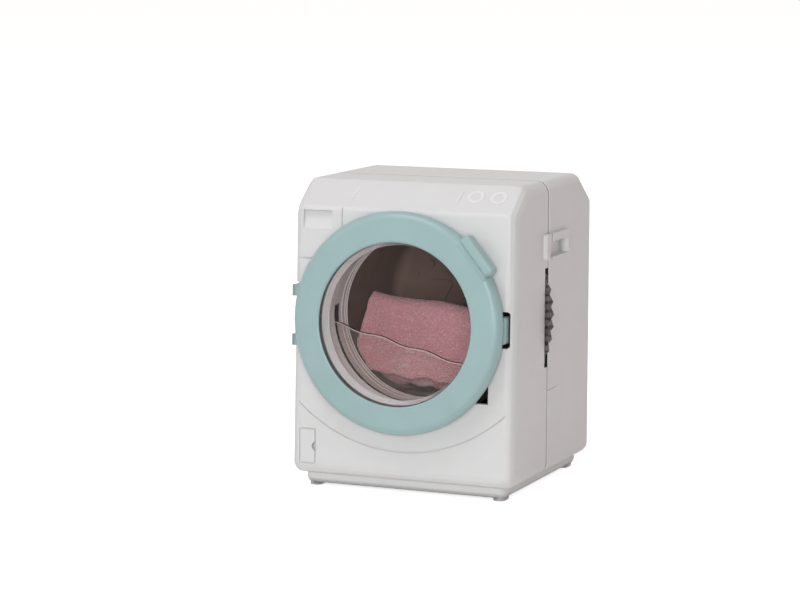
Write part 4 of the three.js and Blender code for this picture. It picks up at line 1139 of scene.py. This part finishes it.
@dataclass
class Plinth:
    """The white tray with four feet under the housing."""

    finishes: Finishes
    smooth_angle: float = 34.0

    def make(self) -> None:
        """Dress the tray."""
        piece = Bench.from_node("base_plinth", "base_plinth_moulding")
        Bench.smooth(piece, self.smooth_angle)
        Bench.deliver(piece, Body.HOUSING, Slot.WHITE, self.finishes.base, "base_plinth")


@dataclass
class Drum:
    """The dark drum with its thumb wheel."""

    finishes: Finishes
    smooth_angle: float = 40.0

    def make(self) -> None:
        """Dress the cup and the wheel."""
        finishes = {"drum_cup": self.finishes.dark, "thumb_wheel": self.finishes.wheel}
        for node, finish in finishes.items():
            piece = Bench.from_node(node, node + "_moulding")
            Bench.smooth(piece, self.smooth_angle)
            Bench.deliver(piece, Body.DRUM, Slot.DARK, finish, node)


@dataclass
class Door:
    """The mint ring with its handle, lugs and tab, and the clear window."""

    finishes: Finishes
    place: DoorPlace
    outer_radius: float = 0.02435
    inner_radius: float = 0.0177
    back: float = 0.0003
    back_rounding: float = 0.0016
    rim_rounding: float = 0.0019
    rim_proud: float = 0.0041
    inner_proud: float = 0.0044
    inner_rounding: float = 0.0006
    seat_proud: float = 0.0032
    seat_radius: float = 0.0207
    retainer_seat: float = 0.0016
    retainer_radius: float = 0.0217
    pane_proud: float = 0.0029
    pane_radius: float = 0.0205
    pane_wall_radius: float = 0.0176
    pane_wall_run: float = 0.0002
    pane_depth: float = 0.0016
    pane_corner: float = 0.0005
    pane_crown: float = 0.0003
    crown_steps: int = 8
    pane_thickness: float = 0.0009
    pane_draft: float = 0.4
    pane_wall_turn: float = 0.6
    handle_angle: float = 39.5
    handle_reach: float = 0.0249
    handle_length: float = 0.0100
    handle_width: float = 0.0025
    handle_low: float = 0.002
    handle_high: float = 0.0055
    handle_rounding: float = 0.0009
    pad_inner: float = 0.02215
    pad_length: float = 0.0106
    pad_proud: float = 0.0001
    pad_taper: float = 0.72
    pad_rounding: float = 0.0004
    lug_reach: float = 0.0095
    lug_start: float = 0.0215
    soft_angle: float = 40.0
    crisp_angle: float = 34.0
    turned_steps: int = 192
    pane_steps: int = 160

    def ring(self) -> bpy.types.Object:
        """Turn the ring, from the back round the rim to the window's seat.

        Returns:
            The ring.
        """
        rim_centre = self.outer_radius - self.rim_rounding
        crown = self.rim_proud - self.rim_rounding
        inner = self.inner_radius + self.inner_rounding
        rear_centre = self.outer_radius - self.back_rounding
        rear_middle, inner_crown = self.back + self.back_rounding, self.inner_proud - self.inner_rounding
        bends = arc((rear_centre, rear_middle), self.back_rounding, start=-90, end=0, steps=8)
        bends += arc((rim_centre, crown), self.rim_rounding, start=0, end=84, steps=10)
        bends += arc((inner, inner_crown), self.inner_rounding, start=96, end=180, steps=6)
        profile: Profile = [(self.retainer_radius, -self.back)]
        profile += [(radius, -proud) for radius, proud in bends]
        profile += [
            (self.inner_radius, -self.seat_proud),
            (self.seat_radius, -self.seat_proud),
            (self.seat_radius, -self.retainer_seat),
            (self.retainer_radius, -self.retainer_seat),
            (self.retainer_radius, -self.back),
        ]
        return Bench.lathe("door_ring_moulding", profile, self.turned_steps)

    def handle(self) -> list[bpy.types.Object]:
        """Shape the handle.

        Returns:
            The bar, and the pad that carries it.
        """
        half = self.handle_length / 2
        inside = self.handle_reach - self.handle_width / 2
        outside = self.handle_reach + self.handle_width / 2
        bar = Bench.box("handle_bar", (inside, -self.handle_high, -half), (outside, -self.handle_low, half))
        Bench.round_edges(bar, self.handle_rounding, segments=5)
        pad_half = self.pad_length / 2
        pad = Bench.box(
            "handle_pad",
            (self.pad_inner, -self.rim_proud - self.pad_proud, -pad_half),
            (self.handle_reach, -self.handle_low, pad_half),
        )
        Bench.pick(pad, lambda at: at.x > (self.pad_inner + self.handle_reach) / 2)
        bpy.ops.transform.resize(value=(1, 1, self.pad_taper))
        Bench.close()
        Bench.round_edges(pad, self.pad_rounding, segments=3)
        turn = Matrix.Rotation(-math.radians(self.handle_angle), 4, "Y")
        return [Bench.put(piece, turn) for piece in (bar, pad)]

    def dish(self, offset: float) -> Profile:
        """List one skin of the dished pane, from its middle to its flange.

        Args:
            offset: How far the skin lies behind the pane's front.

        Returns:
            The skin's profile.
        """
        floor = self.pane_depth - self.pane_proud + offset
        lip = self.pane_wall_radius - offset * self.pane_draft
        wall = self.pane_wall_radius - self.pane_wall_run - offset * self.pane_draft
        turn = self.pane_corner
        reach = wall - turn
        shares = [k / self.crown_steps for k in range(self.crown_steps + 1)]
        skin = [(reach * share, floor - self.pane_crown * (1 - share * share)) for share in shares]
        skin += arc((reach, floor - turn), turn, start=90, end=10, steps=6)[1:]
        skin.append((lip, offset - self.pane_proud))
        return skin

    def pane(self) -> bpy.types.Object:
        """Turn the clear pane: a dish with a steep wall and a flat flange.

        Returns:
            The pane.
        """
        front, rear = self.dish(0.0), self.dish(self.pane_thickness)
        flange = [
            (self.pane_radius, -self.pane_proud),
            (self.pane_radius, self.pane_thickness - self.pane_proud),
        ]
        return Bench.lathe("door_window_pane", front + flange + rear[::-1], self.pane_steps)

    def make(self) -> None:
        """Build and dress the door."""
        ring = self.ring()
        Bench.smooth(ring, self.soft_angle)
        cad = Bench.from_node("door_ring", "door_lugs")
        Bench.put(cad, self.place.matrix.inverted())
        self.keep_lugs(cad)
        Bench.smooth(cad, self.crisp_angle)
        pieces = [ring, cad]
        for piece in self.handle():
            Bench.smooth(piece, self.soft_angle)
            pieces.append(piece)
        whole = Bench.join("door_ring_moulding", pieces)
        Bench.put(whole, self.place.matrix)
        Bench.deliver(whole, Body.DOOR, Slot.MINT, self.finishes.mint, "door_ring")
        window = Bench.put(self.pane(), self.place.matrix)
        Bench.smooth(window, self.crisp_angle)
        Bench.deliver(window, Body.DOOR, Slot.CLEAR, self.finishes.window, "door_window")
        # The pane's steep wall takes the pale band, a painted highlight.
        window.data.materials.append(self.finishes.rim)
        for face in window.data.polygons:
            face.material_index = 1 if abs(face.normal.y) < self.pane_wall_turn else 0
        retainer = Bench.from_node("window_retainer", "window_retainer_ring")
        Bench.smooth(retainer, self.crisp_angle)
        Bench.deliver(retainer, Body.DOOR, Slot.MINT, self.finishes.mint, "window_retainer")

    def keep_lugs(self, piece: bpy.types.Object) -> None:
        """Cut a copy of the ring down to its hinge lugs and latch tab.

        Args:
            piece: The copy, lying in the door's own frame.
        """
        Bench.pick(piece, lambda at: abs(at.z) > self.lug_reach or abs(at.x) < self.lug_start)
        bpy.ops.mesh.delete(type="VERT")
        Bench.close()


@dataclass
class WavePlate:
    """The clear rocking plate, with its cut edges chamfered."""

    finishes: Finishes
    chamfer: float = 0.00034
    corner_angle: float = 60.0
    smooth_angle: float = 25.0
    edge_turn: float = 0.65
    face_turn: float = 0.98

    def make(self) -> None:
        """Chamfer and dress the plate: clear faces, painted shade on the cut edge, a painted highlight on the
        chamfer.
        """
        piece = Bench.from_node("wave_plate", "wave_plate_pane")
        Bench.round_edges(piece, self.chamfer, 2, self.corner_angle)
        Bench.smooth(piece, self.smooth_angle)
        Bench.deliver(piece, Body.WAVE, Slot.CLEAR, self.finishes.plate, "wave_plate")
        piece.data.materials.append(self.finishes.plate_shade)
        piece.data.materials.append(self.finishes.plate_light)
        for face in piece.data.polygons:
            facing = abs(face.normal.y)
            if facing < self.edge_turn:
                face.material_index = 1
            elif facing < self.face_turn:
                face.material_index = 2


@dataclass
class Towel:
    """The folded towel: one strip of terry, folded in four, shaped by the drum."""

    finishes: Finishes
    place: DoorPlace
    layers: int = 4
    thickness: float = 0.0024
    layer_step: float = 0.0031
    top: float = 0.0412
    foot: float = 0.0206
    top_width: float = 0.0264
    foot_width: float = 0.035
    drum_radius: float = 0.0193
    rear_drop: float = 0.0022
    drop_gain: float = 2.0
    drop_start: float = 0.5
    tilt: float = 5.0
    offset: float = -0.0004
    loop_size: float = 0.0006
    loop_height: float = 0.00014
    knot_share: float = 0.6
    knot_spacing: float = 3.1
    grid: tuple[int, int] = (60, 190)
    pile_allowance: float = 0.0006
    front_gap: float = 0.0001
    wall_share: float = 0.98
    corner_blend: float = 0.0012
    sway: Span = (0.00025, 0.0002)
    sway_turns: tuple[Span, Span] = ((9.0, 21.0), (2.2, 23.0))
    lift: Span = (0.0002, 0.0003)
    lift_turns: tuple[Span, Span] = ((5.0, 3.0), (11.0, 0.0))

    def __post_init__(self) -> None:
        """Take the front from the solid that the cloth replaces."""
        self.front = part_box("laundry_towel")[0][1] + self.front_gap

    def path(self, share: float) -> tuple[float, float]:
        """Find a point of the serpentine's middle line.

        Args:
            share: How far along the strip, 0 to 1.

        Returns:
            Its y and z.
        """
        half = self.thickness / 2
        fold = self.layer_step / 2
        rise = self.top - self.foot - 2 * half - 2 * fold
        bend = math.pi * fold
        total = self.layers * rise + (self.layers - 1) * bend
        along = share * total
        y = self.front + half
        low, high = self.foot + half + fold, self.top - half - fold
        for layer in range(self.layers):
            up = layer % 2 == 0
            if along <= rise or layer == self.layers - 1:
                return y, (low + along) if up else (high - along)
            along -= rise
            if along <= bend:
                angle = along / fold
                lift = fold * math.sin(angle)
                return y + fold * (1 - math.cos(angle)), (high + lift) if up else (low - lift)
            along -= bend
            y += self.layer_step
        return y, low

    def half_width(self, z: float) -> float:
        """Find half the strip's width at a height, within the drum.

        Args:
            z: The height.

        Returns:
            Half the width.
        """
        share = (z - self.foot) / (self.top - self.foot)
        straight = (self.foot_width + (self.top_width - self.foot_width) * share) / 2
        drop = min(abs(z - self.place.drum_axis.z), self.drum_radius * self.wall_share)
        chord = math.sqrt(self.drum_radius ** 2 - drop ** 2) - self.thickness / 2
        gap = max(self.corner_blend - abs(straight - chord), 0.0) / self.corner_blend
        return min(straight, chord) - gap * gap * self.corner_blend / 4

    @staticmethod
    def ripple(height: float, turns: Span, across: float, along: float) -> float:
        """Return the height of a wave at a point of the strip."""
        return height * math.sin(turns[0] * across + turns[1] * along)

    def raise_loops(self, towel: bpy.types.Object) -> None:
        """Push the pile's loops out of the cloth.

        Args:
            towel: The folded and thickened cloth.
        """
        normals = [vertex.normal.copy() for vertex in towel.data.vertices]
        for vertex, normal in zip(towel.data.vertices, normals):
            knot = noise.noise(vertex.co / (self.knot_spacing * self.loop_size))
            loop = noise.noise(vertex.co / self.loop_size) + self.knot_share * knot
            vertex.co += normal * self.loop_height * loop

    def make(self) -> None:
        """Fold, thicken and dress the towel."""
        Bench.clear()
        columns, rows = self.grid
        bpy.ops.mesh.primitive_grid_add(x_subdivisions=columns, y_subdivisions=rows, size=1)
        towel = bpy.context.object
        towel.name = "laundry_towel_cloth"
        for vertex in towel.data.vertices:
            across, along = vertex.co.x * 2, vertex.co.y + 0.5
            y, z = self.path(along)
            wide, close = (self.ripple(*wave, across, along) for wave in zip(self.sway, self.sway_turns))
            rise = (z - self.foot) / (self.top - self.foot)
            depth = (y - self.front) / (self.layers * self.layer_step)
            z -= self.rear_drop * rise * min(max(self.drop_gain * depth - self.drop_start, 0.0), 1.0)
            even = self.ripple(self.lift[0], self.lift_turns[0], across, along)
            at_foot = self.ripple(self.lift[1] * (1 - rise), self.lift_turns[1], across, along)
            vertex.co = (across * self.half_width(z), y + (wide + close), z + (even + at_foot))
        body = self.thickness - self.pile_allowance
        Bench.modify(towel, "SOLIDIFY", thickness=body, offset=0.0, use_even_offset=False)
        Bench.modify(towel, "SUBSURF", levels=1, render_levels=1)
        self.raise_loops(towel)
        turn = Matrix.Translation((self.offset, 0, self.place.drum_axis.z))
        turn = turn @ Matrix.Rotation(math.radians(self.tilt), 4, "Y")
        turn = turn @ Matrix.Translation((0, 0, -self.place.drum_axis.z))
        Bench.put(towel, turn)
        Bench.hold(towel)
        Bench.open()
        bpy.ops.mesh.normals_make_consistent(inside=False)
        Bench.close()
        bpy.ops.object.shade_smooth()
        Bench.deliver(towel, Body.DRUM, Slot.TERRY, self.finishes.terry, "laundry_towel")


@dataclass
class Fasteners:
    """Screws, the drum's axle and the hinge pin."""

    finishes: Finishes
    smooth_angle: float = 40.0

    def make(self) -> None:
        """Dress the steel parts."""
        nodes = [f"housing_screw_{k}" for k in range(1, 5)]
        nodes += [f"collar_screw_{k}" for k in (1, 2)] + [f"base_screw_{k}" for k in (1, 2)]
        for node in nodes + ["drum_axle", "hinge_pin"]:
            piece = Bench.from_node(node, node + "_steel")
            Bench.smooth(piece, self.smooth_angle)
            Bench.deliver(piece, Body.HOUSING, Slot.STEEL, self.finishes.steel, node)


@dataclass(frozen=True)
class SoftLamp:
    """A square soft lamp that looks at the machine."""

    name: str
    colour: Colour
    power: float
    size: float
    place: tuple[float, float, float]

    def hang(self, target: Vector) -> None:
        """Hang the lamp.

        Args:
            target: The point it looks at.
        """
        data = bpy.data.lights.new(self.name, "AREA")
        data.shape = "SQUARE"
        data.size = self.size
        data.energy = self.power
        data.color = self.colour
        lamp = bpy.data.objects.new(self.name, data)
        bpy.context.scene.collection.objects.link(lamp)
        place = Vector(self.place)
        aim = (place - target).to_track_quat("Z", "Y").to_matrix().to_4x4()
        lamp.matrix_world = Matrix.Translation(place) @ aim


@dataclass
class Studio:
    """Floor, light and the camera at the photograph's viewing angle."""

    target: Vector = Vector((-0.010708, 0.002051, 0.039231))
    azimuth: float = 23.1715
    elevation: float = 8.0074
    roll: float = 0.1549
    distance: float = 0.627217
    lens: float = 124.911
    sensor: float = 36.0
    clip: Span = (0.01, 20.0)
    floor_size: float = 8.0
    ambient: Colour = (1.0, 0.875, 0.86)
    ambient_strength: float = 0.285
    lamps: tuple[SoftLamp, ...] = (
        SoftLamp("front_key", (0.93, 0.985, 1.0), 3.25, 0.4, (0.30, -0.85, 0.17)),
        SoftLamp("top_key", (0.955, 0.97, 0.98), 3.4, 0.5, (-0.15, -0.36, 0.91)),
        SoftLamp("left_fill", (0.86, 0.975, 1.04), 0.6, 0.2, (-0.55, -0.65, 0.40)),
        SoftLamp("rear_fill", (1.0, 0.80, 0.74), 0.5, 0.5, (0.56, 0.75, 0.33)),
    )

    def camera(self) -> None:
        """Aim the camera."""
        azimuth, elevation = math.radians(self.azimuth), math.radians(self.elevation)
        back = Vector((
            math.sin(azimuth) * math.cos(elevation),
            -math.cos(azimuth) * math.cos(elevation),
            math.sin(elevation),
        ))
        data = bpy.data.cameras.new("camera")
        data.lens = self.lens
        data.sensor_width = self.sensor
        data.clip_start, data.clip_end = self.clip
        camera = bpy.data.objects.new("camera", data)
        bpy.context.scene.collection.objects.link(camera)
        aim = back.to_track_quat("Z", "Y").to_matrix().to_4x4()
        tilt = Matrix.Rotation(math.radians(self.roll), 4, "Z")
        camera.matrix_world = Matrix.Translation(self.target + back * self.distance) @ aim @ tilt
        bpy.context.scene.camera = camera

    def world(self) -> None:
        """Set a plain warm ambient light that shows white itself."""
        world = bpy.data.worlds.new("studio")
        tree = ShaderTree(world, "OutputWorld")
        light = tree.add("Background", Color=self.ambient, Strength=self.ambient_strength)
        white = tree.add("Background", Color=PURE_WHITE, Strength=1.0)
        tree.finish(tree.mix(tree.watched(), light.outputs[0], white.outputs[0]))
        bpy.context.scene.world = world

    def floor(self) -> None:
        """Lay the paper floor."""
        Bench.clear()
        bpy.ops.mesh.primitive_plane_add(size=self.floor_size)
        floor = bpy.context.object
        floor.name = "floor"
        floor.data.materials.append(PaperFloor().build())

    def make(self) -> None:
        """Set up the studio."""
        bpy.context.scene.view_settings.view_transform = "Standard"
        self.camera()
        self.world()
        for lamp in self.lamps:
            lamp.hang(self.target)
        self.floor()


def main() -> None:
    """Build the studio, then every sub-assembly in order."""
    Studio().make()
    finishes = Finishes()
    place = DoorPlace()
    assemblies: Iterable = (
        Housing(finishes, place),
        Collar(finishes, place),
        Plinth(finishes),
        Drum(finishes),
        Door(finishes, place),
        WavePlate(finishes),
        Towel(finishes, place),
        Fasteners(finishes),
    )
    for assembly in assemblies:
        assembly.make()
        LOG.info("%s is done", type(assembly).__name__)


if __name__ == "__main__":
    main()
